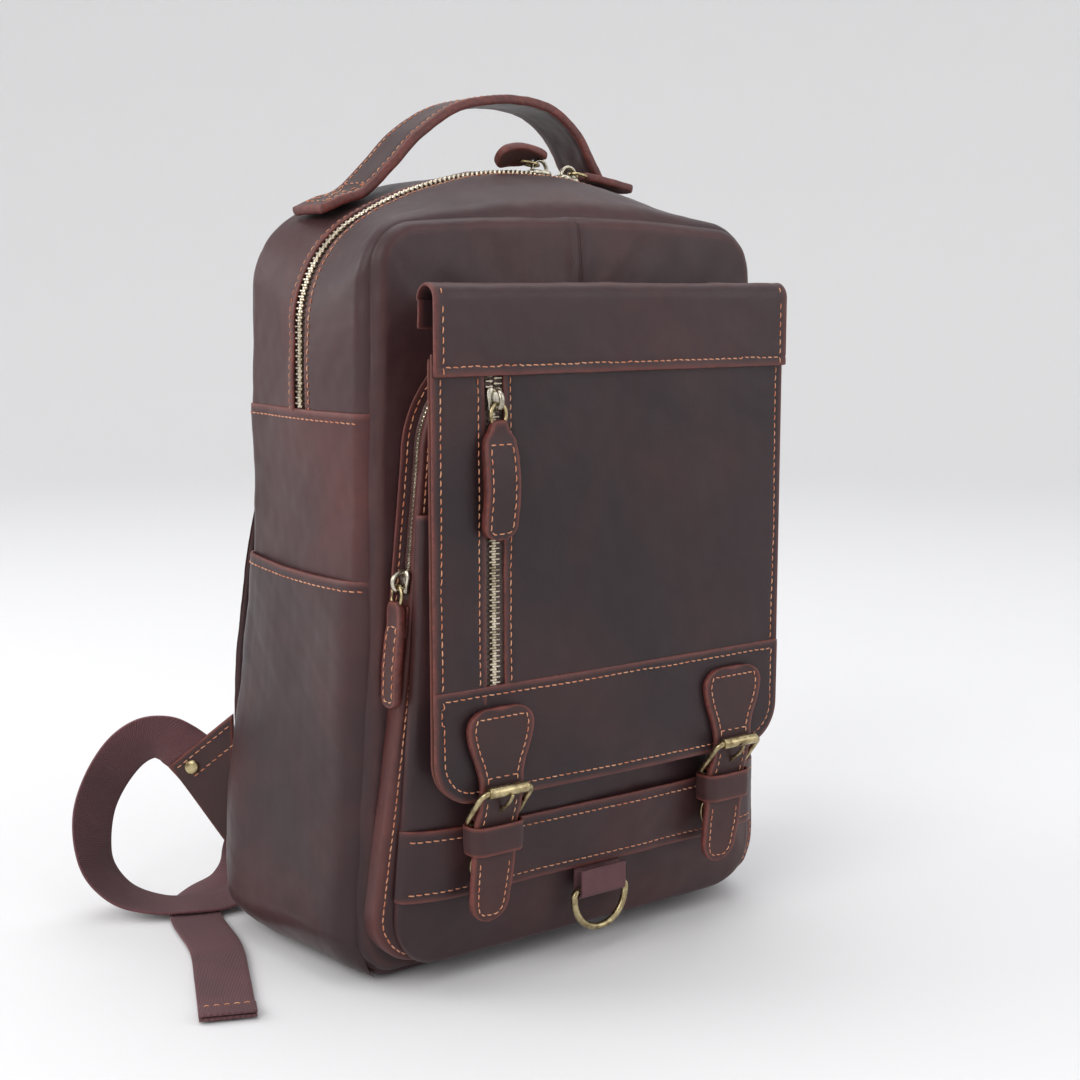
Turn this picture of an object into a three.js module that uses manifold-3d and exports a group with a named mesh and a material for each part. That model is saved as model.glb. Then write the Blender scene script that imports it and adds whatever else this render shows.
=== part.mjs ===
// A leather backpack with a buckled flap, as an assembly of separate pieces.
// Millimetres, +Z up. The origin is on the surface it stands on, under the middle of its base.
// The front, with the flap, faces -Y and the shoulder straps are on +Y.
import * as THREE from "three";
import { mergeVertices } from "three/addons/utils/BufferGeometryUtils.js";
import Module from "manifold-3d";

const wasm = await Module();
wasm.setup();

// ---------------------------------------------------------------- driving dimensions
const GAP = 0.4; // between pieces that touch on the real bag
const LEATHER = 2.4;
const SIDES = { left: -1, right: 1 };

// Front-view outlines of the body at the front seam, at the main zip and at the back seam.
const FRONT_OUTLINE = { bottomHalf: 137, topHalf: 129, bottomR: 28, cornerR: 30, crownR: 1145, top: 399 };
const ZIP_OUTLINE = { bottomHalf: 140, topHalf: 134, bottomR: 28, cornerR: 63, crownR: 200, top: 420 };
const BACK_OUTLINE = { bottomHalf: 138, topHalf: 131, bottomR: 28, cornerR: 44, crownR: 270, top: 418 };

const FRONT_Y = -46; // front seam, high on the body
const FRONT_Y_FOOT = 10; // how far the front seam falls back at the foot
const BACK_Y = 72;
const BACK_Y_FOOT = 24; // how far the back spreads at the foot
const ZIP_SHARE = 0.46; // the main zip's place between the front seam and the back seam
const ZIP_HALF = 7; // half the width of the main zip's tape
const ZIP_SINK = 0.4; // how far the tape lies below the leather
const ZIP_END_Z = 296; // where the main zip stops on both sides

const PANEL_SWELL = 5; // how far the front panel swells high up, and how much more at its foot
const PANEL_SWELL_FOOT = 5;
const BACK_PAD = 9;
const BASE_BOARD = { half: 104, y0: -24, y1: 56, z0: 2.8, z1: 6 };
const DIVIDER = { half: 116, y0: 55, y1: 59, z0: 12, z1: 330 };

const SIDE_POCKET_MOUTH_Z = 213;
const SIDE_POCKET_ROOM = 8; // how far the wall behind a side pocket stands back

const ORGANIZER = { bottomHalf: 131, topHalf: 108, bottom: 14, top: 330, bottomR: 26, topR: 56, depth: 11.5 };
const ORGANIZER_ZIP_END_Z = 202;
const ORGANIZER_ZIP_HALF = 3;
const FLAP_POCKET = { bottomHalf: 122, topHalf: 112, bottom: 11, top: 262, bottomR: 28, topR: 10, depth: 8 };
const FLAP_POCKET_RIM = 0.5; // the share of the flap pocket's depth that is left at its rim
const FLAP_POCKET_MOUTH_Z = 247;
const BAND = { half: 117, bottom: 50, top: 87, lift: 0.8 };

const FLAP = { half: 115, top: 352, bottom: 104, cornerR: 22, backY: -80, thick: 3 };
const STRIP_BOTTOM_Z = 316;
const FLAP_BAND_TOP_Z = 161;
const OVERLAY = 2.2;
const ROLL_R = 6.5; // outer radius of the rolled top of the flap
const FLAP_ZIP = { x: -79, half: 6.2, bottom: 158, top: 320, sink: 0.6 };

const BUCKLE_X = 78.5; // the two buckled straps stand this far from the middle
const BILLET_THICK = 3;
const CHAPE = { half: 11.5, ply: 1.8, foot: 57 };
const KEEPER = { half: 15.4, innerHalf: 13.2, front: -88.5, back: -73.6, ply: 1.6, bottom: 77.5, top: 88.5 };
const ROLLER = { y: -94.6, z: 110, r: 2.9, half: 12 };
const HEEL = { y: -79.3, z: 91, r: 1.5 };
const FRAME = { half: 15.5, cornerR: 2.5 };
const PIN_R = 1.1;
const RUNNING_GAP = 0.35;
const SNAP = { z: 66, capR: 9, studR: 8, split: -73.5 };

const D_RING = { wire: 1.9, half: 17.5, drop: 22, y: -70, z: 36 };
const D_RING_LOOP = { half: 15, thick: 1.4 };

// The small ring between a slider and its pull.
const RING = { r: 4.6, length: 5.8, wire: 0.9, nearX: 2, z: 4.8 };
const PULL_THICK = 4.2;

const HANDLE = { y: 40, half: 15, thick: 5, padEnd: 110, padStart: 84 };
const ARM_STRAP = { thick: 7, glideX: 104, glideY: 121, glideZ: 70 };
const GLIDE = { half: 19, height: 20, thick: 3, slotHalf: 15.5, slot: 5 };
const WEBBING = { half: 14, thick: 1.6 };
const TAB = { thick: 3.8, corners: [[137, 101, 116], [137, 102, 37], [156, 118, 79], [161, 122.5, 87]] };

// ---------------------------------------------------------------- small tools
const v3 = (x, y, z) => new THREE.Vector3(x, y, z);
const lerp = THREE.MathUtils.lerp;
const radians = THREE.MathUtils.degToRad;
const smooth = (x) => THREE.MathUtils.smoothstep(x, 0, 1);
const range = (n) => Array.from({ length: n }, (_, i) => i);

function volumeOf(positions, index) {
  const a = v3(), b = v3(), c = v3();
  let sum = 0;
  for (let i = 0; i < index.length; i += 3) {
    a.fromArray(positions, index[i] * 3);
    b.fromArray(positions, index[i + 1] * 3);
    c.fromArray(positions, index[i + 2] * 3);
    sum += a.dot(b.cross(c));
  }
  return sum / 6;
}

// A closed geometry from points and triangles, with its faces turned outwards.
function closedGeometry(points, index) {
  const positions = points.flatMap((p) => [p.x, p.y, p.z]);
  if (volumeOf(positions, index) < 0) {
    for (let i = 0; i < index.length; i += 3) [index[i + 1], index[i + 2]] = [index[i + 2], index[i + 1]];
  }
  const geometry = new THREE.BufferGeometry();
  geometry.setAttribute("position", new THREE.Float32BufferAttribute(positions, 3));
  geometry.setIndex(index);
  return geometry;
}

function quad(index, a, b, c, d) {
  index.push(a, b, c, a, c, d);
}

// A solid between two grids of points with the same rows and columns.
function gridSolid(outer, inner) {
  const rows = outer.length, columns = outer[0].length, half = rows * columns;
  const at = (i, j) => i * columns + j;
  const index = [];
  for (let i = 0; i + 1 < rows; i++) {
    for (let j = 0; j + 1 < columns; j++) {
      quad(index, at(i, j), at(i, j + 1), at(i + 1, j + 1), at(i + 1, j));
      quad(index, half + at(i, j), half + at(i + 1, j), half + at(i + 1, j + 1), half + at(i, j + 1));
    }
  }
  for (let i = 0; i + 1 < rows; i++) {
    quad(index, at(i, 0), at(i + 1, 0), half + at(i + 1, 0), half + at(i, 0));
    const near = at(i, columns - 1), next = at(i + 1, columns - 1);
    quad(index, next, near, half + near, half + next);
  }
  for (let j = 0; j + 1 < columns; j++) {
    quad(index, at(0, j + 1), at(0, j), half + at(0, j), half + at(0, j + 1));
    quad(index, at(rows - 1, j), at(rows - 1, j + 1), half + at(rows - 1, j + 1), half + at(rows - 1, j));
  }
  return closedGeometry([...outer.flat(), ...inner.flat()], index);
}

// A solid through closed rings of points. A loop of rings has no ends, and a row of rings is capped.
function ringSolid(rings, loop = false) {
  const n = rings[0].length, index = [];
  const last = loop ? rings.length : rings.length - 1;
  for (let i = 0; i < last; i++) {
    const next = (i + 1) % rings.length;
    for (let j = 0; j < n; j++) {
      const k = (j + 1) % n;
      quad(index, i * n + j, i * n + k, next * n + k, next * n + j);
    }
  }
  if (!loop) {
    const end = (rings.length - 1) * n;
    for (let j = 1; j + 1 < n; j++) {
      index.push(0, j + 1, j);
      index.push(end, end + j, end + j + 1);
    }
  }
  return closedGeometry(rings.flat(), index);
}

// A flat strip. Each station has its middle, the way across it and its half width.
function strap(stations, thick) {
  return ringSolid(stations.map((s, i) => {
    const before = stations[Math.max(0, i - 1)].at, after = stations[Math.min(stations.length - 1, i + 1)].at;
    const along = after.clone().sub(before).normalize();
    const across = s.across.clone().addScaledVector(along, -s.across.dot(along)).normalize();
    const face = along.clone().cross(across).normalize().multiplyScalar(thick / 2);
    const side = across.multiplyScalar(s.half);
    const corner = (a, b) => s.at.clone().addScaledVector(side, a).addScaledVector(face, b);
    return [corner(-1, -1), corner(1, -1), corner(1, 1), corner(-1, 1)];
  }));
}

// Points at even steps along a smooth curve through the given points.
function smoothPath(points, steps) {
  return new THREE.CatmullRomCurve3(points, false, "centripetal").getSpacedPoints(steps);
}

// A round wire along points that lie in one plane with the given normal.
function wire(points, radius, normal, { sides = 8, loop = true } = {}) {
  const n = points.length;
  return ringSolid(points.map((p, i) => {
    const before = loop ? points[(i + n - 1) % n] : points[Math.max(0, i - 1)];
    const after = loop ? points[(i + 1) % n] : points[Math.min(n - 1, i + 1)];
    const along = after.clone().sub(before).normalize();
    const out = along.clone().cross(normal).normalize();
    return range(sides).map((k) => {
      const a = (2 * Math.PI * k) / sides;
      const side = out.clone().multiplyScalar(radius * Math.cos(a));
      return p.clone().add(side).addScaledVector(normal, radius * Math.sin(a));
    });
  }), loop);
}

// A plate whose outline is drawn in X and Z; its back is at the given Y and it stands towards -Y.
function plate(shape, backY, thick, curveSegments = 5) {
  const geometry = new THREE.ExtrudeGeometry(shape, { depth: thick, bevelEnabled: false, curveSegments });
  return geometry.rotateX(Math.PI / 2).translate(0, backY, 0);
}

// A bar along X whose section is drawn in Y and Z.
function barAlongX(section, x0, x1) {
  const settings = { depth: x1 - x0, bevelEnabled: false };
  const geometry = new THREE.ExtrudeGeometry(new THREE.Shape(section), settings);
  const turn = new THREE.Matrix4().makeBasis(v3(0, 1, 0), v3(0, 0, 1), v3(1, 0, 0));
  return geometry.applyMatrix4(turn).translate(x0, 0, 0);
}

const box = (x0, x1, y0, y1, z0, z1) =>
  new THREE.BoxGeometry(x1 - x0, y1 - y0, z1 - z0).translate((x0 + x1) / 2, (y0 + y1) / 2, (z0 + z1) / 2);

// All the space between two heights, to cut with.
const slab = (z0, z1) => box(-300, 300, -300, 300, z0, z1);

const discAlongY = (x, y, z, radius, thick, sides = 20) =>
  new THREE.CylinderGeometry(radius, radius, thick, sides).translate(x, y, z);

function tubeAlongX(x, y, z, inner, outer, length, sides = 14) {
  const profile = [[inner, 0], [outer, 0], [outer, length], [inner, length], [inner, 0]];
  const geometry = new THREE.LatheGeometry(profile.map(([r, h]) => new THREE.Vector2(r, h)), sides);
  return geometry.rotateZ(-Math.PI / 2).translate(x - length / 2, y, z);
}

// The points round an outline with rounded corners, which may be wider at its foot than at its top.
function roundedLoop(o, inset = 0, pieces = 5) {
  const corner = (half, z, r, start) => ({ x: half - r, z, r: r - inset, start });
  const low = o.bottom + o.bottomR, high = o.top - o.topR;
  const corners = [corner(o.bottomHalf, low, o.bottomR, -Math.PI / 2), corner(o.topHalf, high, o.topR, 0)];
  const right = corners.flatMap(({ x, z, r, start }) => range(5).map((i) => {
    const a = start + (Math.PI / 8) * i;
    return v3(x + r * Math.cos(a), 0, z + r * Math.sin(a));
  }));
  const left = right.toReversed().map((p) => v3(-p.x, 0, p.z));
  const ends = [...right, ...left];
  return ends.flatMap((a, i) => {
    const b = ends[(i + 1) % ends.length];
    const straight = i % 5 === 4;
    return straight ? range(pieces).map((k) => a.clone().lerp(b, k / pieces)) : [a];
  });
}

const shapeOf = (loop) => new THREE.Shape(loop.map((p) => new THREE.Vector2(p.x, p.z)));

// ---------------------------------------------------------------- booleans
function toSolid(geometry) {
  const bare = geometry.index ? geometry.toNonIndexed() : geometry.clone();
  const only = new THREE.BufferGeometry().setAttribute("position", bare.getAttribute("position"));
  const merged = mergeVertices(only, 1e-3);
  return new wasm.Manifold(new wasm.Mesh({
    numProp: 3,
    vertProperties: merged.attributes.position.array,
    triVerts: new Uint32Array(merged.index.array),
  }));
}

function fromSolid(solid) {
  const { numVert, numProp, vertProperties, triVerts } = solid.getMesh();
  const positions = range(numVert).flatMap((i) => [...vertProperties.subarray(i * numProp, i * numProp + 3)]);
  const geometry = new THREE.BufferGeometry();
  geometry.setAttribute("position", new THREE.Float32BufferAttribute(positions, 3));
  return geometry.setIndex([...triVerts]);
}

const cut = (geometry, ...tools) =>
  fromSolid(tools.reduce((left, tool) => left.subtract(toSolid(tool)), toSolid(geometry)));

const join = (first, ...rest) =>
  fromSolid(rest.reduce((sum, piece) => sum.add(toSolid(piece)), toSolid(first)));

// ---------------------------------------------------------------- the body's surface
const frontSeamY = (z) => FRONT_Y + FRONT_Y_FOOT * smooth((210 - z) / 190);
const backSeamY = (z) => BACK_Y + BACK_Y_FOOT * smooth((230 - z) / 190);

// A place on the right half of an outline: on the bottom, its corner, the side, the top corner or the crown.
function outlinePoint(o, [part, f]) {
  const cornerX = o.topHalf - o.cornerR;
  const crownZ = o.top - o.crownR;
  const cornerZ = crownZ + Math.sqrt((o.crownR - o.cornerR) ** 2 - cornerX ** 2);
  const meet = Math.atan2(cornerZ - crownZ, cornerX);
  const arc = (x, z, r, a) => {
    const nx = Math.cos(a), nz = Math.sin(a);
    return { x: x + r * nx, z: z + r * nz, nx, nz };
  };
  if (part === "bottom") return { x: f * (o.bottomHalf - o.bottomR), z: 0, nx: 0, nz: -1 };
  if (part === "foot") return arc(o.bottomHalf - o.bottomR, o.bottomR, o.bottomR, (f - 1) * (Math.PI / 2));
  if (part === "corner") return arc(cornerX, cornerZ, o.cornerR, f * meet);
  if (part === "crown") return arc(0, crownZ, o.crownR, lerp(meet, Math.PI / 2, f));
  const z = f === "top" ? cornerZ : f;
  const x = lerp(o.bottomHalf, o.topHalf, (z - o.bottomR) / (cornerZ - o.bottomR));
  return { x, z, nx: 1, nz: 0 };
}

const SIDE_HEIGHTS = [90, 150, SIDE_POCKET_MOUTH_Z, 255];
const LOW_STATIONS = [
  ["bottom", 0], ["bottom", 0.5], ["bottom", 1], ["foot", 1 / 3], ["foot", 2 / 3], ["foot", 1],
  ...SIDE_HEIGHTS.map((z) => ["side", z]), ["side", ZIP_END_Z - GAP / 2],
];
const HIGH_STATIONS = [
  ["side", ZIP_END_Z + GAP / 2], ["side", "top"], ["corner", 0.25], ["corner", 0.5], ["corner", 0.75],
  ["corner", 1], ["crown", 0.33], ["crown", 0.66], ["crown", 1],
];

// A point of the body's surface at a station, at t from the front seam (0) to the back seam (1).
function bodyPoint(station, t, out, side) {
  const [from, to, ease] = t < ZIP_SHARE
    ? [FRONT_OUTLINE, ZIP_OUTLINE, Math.sin((t / ZIP_SHARE) * (Math.PI / 2))]
    : [ZIP_OUTLINE, BACK_OUTLINE, smooth((t - ZIP_SHARE) / (1 - ZIP_SHARE))];
  const a = outlinePoint(from, station), b = outlinePoint(to, station);
  const mix = (key) => lerp(a[key], b[key], ease);
  const z = mix("z");
  return v3(side * (mix("x") + out * mix("nx")), lerp(frontSeamY(z), backSeamY(z), t), z + out * mix("nz"));
}

// How far the wall stands back behind a side pocket.
function pocketRoom([part, z], t) {
  const behindPocket = part === "side" && z > FRONT_OUTLINE.bottomR && z <= SIDE_POCKET_MOUTH_Z;
  return behindPocket ? SIDE_POCKET_ROOM * Math.sin(Math.PI * t) ** 0.6 : 0;
}

// A band of the body's wall over the given stations and sides.
function bodyBand(stations, [t0, t1], columns, sink = 0, thick = LEATHER) {
  const layer = (offset) => stations.map(([station, side]) => range(columns + 1).map((j) => {
    const t = lerp(t0, t1, j / columns);
    return bodyPoint(station, t, -sink - offset - pocketRoom(station, t), side);
  }));
  return gridSolid(layer(0), layer(thick));
}

const bothSides = (half) => [
  ...half.map((s) => [s, -1]),
  ...half.slice(0, -1).toReversed().map((s) => [s, 1]),
];

// The whole outline at the front seam (0) or the back seam (1).
function bodyLoop(t) {
  const half = [...LOW_STATIONS.slice(0, -1), ...HIGH_STATIONS.slice(1)];
  const right = half.map((s) => bodyPoint(s, t, 0, 1));
  const left = half.slice(1, -1).toReversed().map((s) => bodyPoint(s, t, 0, -1));
  return [...right, ...left];
}

// 0 in the middle of the body's front or back, 1 at its rim.
const rimShare = (x, z) => Math.min(1, Math.max(Math.abs(x) / 136, Math.abs(z - 200) / 200));

function panelFaceY(x, z) {
  const swell = PANEL_SWELL + PANEL_SWELL_FOOT * smooth((210 - z) / 150);
  return frontSeamY(z) - GAP - LEATHER - swell * (1 - rimShare(x, z) ** 4);
}
const backFaceY = (x, z) => backSeamY(z) + GAP + LEATHER + BACK_PAD * (1 - rimShare(x, z) ** 4);

const organizerFaceY = (x, z) => panelFaceY(x, z) - ORGANIZER.depth;

function pocketFaceY(x, z) {
  const share = Math.min(1, Math.max(Math.abs(x) / 118, (137 - z) / 125));
  const depth = FLAP_POCKET.depth * (1 - (1 - FLAP_POCKET_RIM) * share ** 4);
  return organizerFaceY(x, z) - GAP - depth;
}

// ---------------------------------------------------------------- cushioned plates and trays
const DISH_SHARES = [1, 0.88, 0.7, 0.4, 0.12];

// Rings that shrink from an outline towards its middle, each point set at its own depth.
function dishRings(loop, depth) {
  const middle = loop.reduce((sum, p) => sum.add(p), v3()).divideScalar(loop.length);
  return DISH_SHARES.map((share) => loop.map((p) => {
    const x = lerp(middle.x, p.x, share), z = lerp(middle.z, p.z, share);
    return v3(x, depth(x, z), z);
  }));
}

// The triangles of a dish's rings, which start at the given point.
function dishFaces(start, n) {
  const index = [];
  for (let i = 0; i + 1 < DISH_SHARES.length; i++) {
    for (let j = 0; j < n; j++) {
      const k = (j + 1) % n, a = start + i * n, b = a + n;
      quad(index, a + j, a + k, b + k, b + j);
    }
  }
  const last = start + (DISH_SHARES.length - 1) * n;
  for (let j = 1; j + 1 < n; j++) index.push(last, last + j, last + j + 1);
  return index;
}

function turnedOver(index) {
  return range(index.length / 3).flatMap((i) => [index[3 * i], index[3 * i + 2], index[3 * i + 1]]);
}

// A belt of triangles between two rings that start at the given points.
function belt(a, b, n) {
  const index = [];
  for (let j = 0; j < n; j++) quad(index, a + (j + 1) % n, a + j, b + j, b + (j + 1) % n);
  return index;
}

// A cushion-like plate with its own front and back depth.
function dish(loop, frontDepth, backDepth) {
  const n = loop.length, back = DISH_SHARES.length * n;
  const index = [...dishFaces(0, n), ...turnedOver(dishFaces(back, n)), ...belt(0, back, n)];
  return closedGeometry([...dishRings(loop, frontDepth), ...dishRings(loop, backDepth)].flat(), index);
}

// A tray: a front wall and a wall all round, open at its back.
function tray(loop, innerLoop, frontDepth, backDepth, thick) {
  const n = loop.length, inside = DISH_SHARES.length * n, outerRim = 2 * inside, innerRim = outerRim + n;
  const index = [
    ...dishFaces(0, n), ...turnedOver(dishFaces(inside, n)),
    ...belt(0, outerRim, n), ...belt(outerRim, innerRim, n), ...belt(innerRim, inside, n),
  ];
  const rim = (points) => points.map((p) => v3(p.x, backDepth(p.x, p.z), p.z));
  const front = dishRings(loop, frontDepth);
  const frontInside = dishRings(innerLoop, (x, z) => frontDepth(x, z) + thick);
  return closedGeometry([...front, ...frontInside, rim(loop), rim(innerLoop)].flat(), index);
}

// ---------------------------------------------------------------- materials
const MATERIALS = {
  leather: { color: 0x4a2b27, roughness: 0.5, metalness: 0 },
  strap_leather: { color: 0x57302a, roughness: 0.55, metalness: 0 },
  webbing: { color: 0x3f2226, roughness: 0.9, metalness: 0 },
  lining: { color: 0x2f2a2a, roughness: 0.95, metalness: 0 },
  zip_tape: { color: 0x33231f, roughness: 0.9, metalness: 0 },
  antique_brass: { color: 0x8d7d52, roughness: 0.35, metalness: 1 },
  nickel: { color: 0x9b988e, roughness: 0.3, metalness: 1 },
};
const backpack = new THREE.Group();
const materials = Object.fromEntries(
  Object.entries(MATERIALS).map(([name, values]) => {
    return [name, new THREE.MeshStandardMaterial({ name, ...values })];
  }),
);

function add(name, geometry, material) {
  const mesh = new THREE.Mesh(geometry, materials[material]);
  mesh.name = name;
  backpack.add(mesh);
}

// ---------------------------------------------------------------- body shell
function addBody() {
  const zipShare = ZIP_HALF / (BACK_Y - FRONT_Y), gapShare = GAP / (BACK_Y - FRONT_Y);
  const high = bothSides(HIGH_STATIONS);
  add("lower_gusset", bodyBand(bothSides(LOW_STATIONS.toReversed()), [0, 1], 4), "leather");
  add("front_gusset", bodyBand(high, [0, ZIP_SHARE - zipShare], 3), "leather");
  add("rear_gusset", bodyBand(high, [ZIP_SHARE + zipShare, 1], 3), "leather");
  const tape = [ZIP_SHARE - zipShare + gapShare, ZIP_SHARE + zipShare - gapShare];
  add("main_zip", bodyBand(high, tape, 2, ZIP_SINK, LEATHER - 2 * ZIP_SINK), "zip_tape");
  add("front_panel", dish(bodyLoop(0), panelFaceY, (x, z) => panelFaceY(x, z) + LEATHER), "leather");
  add("back_panel", dish(bodyLoop(1), (x, z) => backSeamY(z) + GAP, backFaceY), "leather");
  const board = BASE_BOARD, wall = DIVIDER;
  add("base_board", box(-board.half, board.half, board.y0, board.y1, board.z0, board.z1), "lining");
  add("laptop_divider", box(-wall.half, wall.half, wall.y0, wall.y1, wall.z0, wall.z1), "lining");
}

// The slip pocket on one side, which the wall stands back from.
function addSidePocket(name, side) {
  const heights = [FRONT_OUTLINE.bottomR, ...SIDE_HEIGHTS.filter((z) => z <= SIDE_POCKET_MOUTH_Z)];
  const columns = 4, margin = 0.02;
  const layer = (out) => heights.map((z) => range(columns + 1).map((j) =>
    bodyPoint(["side", z], lerp(margin, 1 - margin, j / columns), out, side)));
  add(name, gridSolid(layer(GAP + LEATHER), layer(GAP)), "leather");
}

// ---------------------------------------------------------------- pockets on the front
function frontTray(o, faceY, behindY) {
  return tray(roundedLoop(o), roundedLoop(o, LEATHER), faceY, (x, z) => behindY(x, z) - GAP, LEATHER);
}

// A band round the organizer's wall, from one depth in the leather to another, above the zip's end.
function organizerBand(halfWidth, outside, inside, endZ) {
  const outer = roundedLoop(ORGANIZER, -outside), inner = roundedLoop(ORGANIZER, inside);
  const rings = outer.map((p, i) => {
    const y = panelFaceY(p.x, p.z) - GAP - ORGANIZER.depth / 2;
    const corners = [[p, -1], [p, 1], [inner[i], 1], [inner[i], -1]];
    return corners.map(([at, way]) => v3(at.x, y + way * halfWidth, at.z));
  });
  return cut(ringSolid(rings, true), slab(-20, endZ));
}

function addFrontPockets() {
  const slot = organizerBand(ORGANIZER_ZIP_HALF + GAP, 2, LEATHER + 2, ORGANIZER_ZIP_END_Z);
  add("organizer_pocket", cut(frontTray(ORGANIZER, organizerFaceY, panelFaceY), slot), "leather");
  const zipEndZ = ORGANIZER_ZIP_END_Z + GAP;
  add("organizer_zip", organizerBand(ORGANIZER_ZIP_HALF, -ZIP_SINK, LEATHER - ZIP_SINK, zipEndZ), "zip_tape");
  const above = slab(FLAP_POCKET_MOUTH_Z, FLAP_POCKET.top + 1);
  add("flap_pocket", cut(frontTray(FLAP_POCKET, pocketFaceY, organizerFaceY), above), "leather");

  // The band sewn across the front of the flap pocket.
  const columns = 14;
  const layer = (lift) => [BAND.bottom, (BAND.bottom + BAND.top) / 2, BAND.top].map((z) =>
    range(columns + 1).map((j) => {
      const x = lerp(-BAND.half, BAND.half, j / columns);
      return v3(x, pocketFaceY(x, z) - lift, z);
    }));
  add("pocket_band", gridSolid(layer(BAND.lift + OVERLAY), layer(BAND.lift)), "leather");
}

// ---------------------------------------------------------------- D-ring on its webbing loop
function halfRound(y, z, r, from, steps = 6) {
  return range(steps + 1).map((i) => {
    const a = from + (Math.PI * i) / steps;
    return new THREE.Vector2(y + r * Math.cos(a), z + r * Math.sin(a));
  });
}

function addDRing() {
  const { y, z, half, drop, wire: r } = D_RING;
  const shoulder = 4;
  const bow = range(12).map((i) => {
    const a = (Math.PI * (i + 0.5)) / 12;
    return v3(half * Math.cos(a), y, z - shoulder - (drop - shoulder) * Math.sin(a));
  });
  const straight = [-half, 0, half].map((x) => v3(x, y, z));
  add("d_ring", wire([...straight, ...bow], r, v3(0, 1, 0)), "antique_brass");

  // The webbing comes from under the band, goes round the straight bar and back up.
  const eyeR = r + 0.5, top = BAND.bottom - 1.5;
  const outside = eyeR + D_RING_LOOP.thick;
  const section = [...halfRound(y, z, outside, Math.PI), new THREE.Vector2(y + outside, top),
    new THREE.Vector2(y - outside, top)];
  const eye = [...halfRound(y, z, eyeR, Math.PI), ...halfRound(y, z + 2, eyeR, 0)];
  const loopHalf = D_RING_LOOP.half;
  const throat = barAlongX(eye, -half, half);
  add("dring_loop", cut(barAlongX(section, -loopHalf, loopHalf), throat), "webbing");
}

// ---------------------------------------------------------------- flap
const flapFrontY = FLAP.backY - FLAP.thick;
const overlayBackY = flapFrontY - GAP;
const hingeY = overlayBackY - OVERLAY + ROLL_R;

function addFlap() {
  const { half, top, bottom, cornerR, backY, thick } = FLAP;
  const zip = FLAP_ZIP;
  const outline = { bottomHalf: half, topHalf: half, bottom, top: top - 4, bottomR: cornerR, topR: 1 };
  const face = shapeOf(roundedLoop(outline));
  const slot = box(zip.x - zip.half, zip.x + zip.half, flapFrontY - 1, backY + 1, zip.bottom, zip.top);
  add("flap_panel", cut(plate(face, backY, thick), slot), "leather");
  add("flap_zip", box(zip.x - zip.half + GAP, zip.x + zip.half - GAP, flapFrontY + zip.sink, backY - zip.sink,
    zip.bottom + GAP, zip.top - GAP), "zip_tape");
  const above = slab(FLAP_BAND_TOP_Z, top + 1);
  add("flap_bottom_band", cut(plate(face, overlayBackY, OVERLAY), above), "leather");

  // The strip along the top, which rolls over backwards round the hinge line.
  const section = [
    new THREE.Vector2(overlayBackY, STRIP_BOTTOM_Z), new THREE.Vector2(overlayBackY - OVERLAY, STRIP_BOTTOM_Z),
    ...halfRound(hingeY, top, ROLL_R, 0, 8).toReversed(), ...halfRound(hingeY, top, ROLL_R - OVERLAY, 0, 8),
  ];
  add("flap_top_strip", barAlongX(section, -half, half), "leather");

  // The tail of the roll hangs behind the hinge line, and turns back to the front panel that it is sewn to.
  // Each row: how far from the roll (0) to the panel (1), and the height.
  const tailY = hingeY + ROLL_R + GAP;
  const tailFront = [[0, 351], [0, 346], [0, 341], [0.2, 336.4], [1, 334.2], [1, 331.4]];
  const tailBack = [[0, 350.6], [0, 346.4], [0, 342], [0.2, 338.8], [1, 337.2], [1, 331.4]];
  const columns = 10;
  const layer = (line, front) => line.map(([share, z]) => range(columns + 1).map((j) => {
    const x = lerp(1 - half, half - 1, j / columns);
    const sewnY = panelFaceY(x, z) - GAP - (front ? OVERLAY : 0);
    return v3(x, lerp(tailY + (front ? 0 : OVERLAY), sewnY, share), z);
  }));
  add("flap_anchor", gridSolid(layer(tailFront, true), layer(tailBack, false)), "leather");
}

// ---------------------------------------------------------------- buckled straps
// The side view of a strap: sewn on the flap, under the roller, over the heel bar and down to its tip.
const BILLET_PATH = [[-87.7, 150], [-87.7, 132], [-87.7, 119], [-88.5, 110], [-87.2, 100], [-84.9, 91], [-84.7, 80],
  [-83.6, 62], [-81.2, 39]];
const BILLET_HALF = [[151, 12], [148, 17.5], [141, 20], [130, 17.5], [119, 13.2], [110, 12.3], [60, 12.3], [50, 11.6],
  [43, 8.5], [39, 4]];

function halfAt(table, z) {
  const i = table.findIndex(([height]) => height <= z);
  if (i <= 0) return table.at(i)[1];
  const [z0, w0] = table[i - 1], [z1, w1] = table[i];
  return lerp(w1, w0, (z - z1) / (z0 - z1));
}

function addBillet(name, x) {
  const path = smoothPath(BILLET_PATH.map(([y, z]) => v3(x, y, z)), 24);
  const stations = path.map((at) => ({ at, across: v3(1, 0, 0), half: halfAt(BILLET_HALF, at.z) }));
  const slotHalf = PIN_R + 0.8;
  const slot = box(x - slotHalf, x + slotHalf, -96, -78, HEEL.z - 3.5, HEEL.z + 12);
  add(`billet_${name}`, cut(strap(stations, BILLET_THICK), slot), "strap_leather");
}

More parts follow.
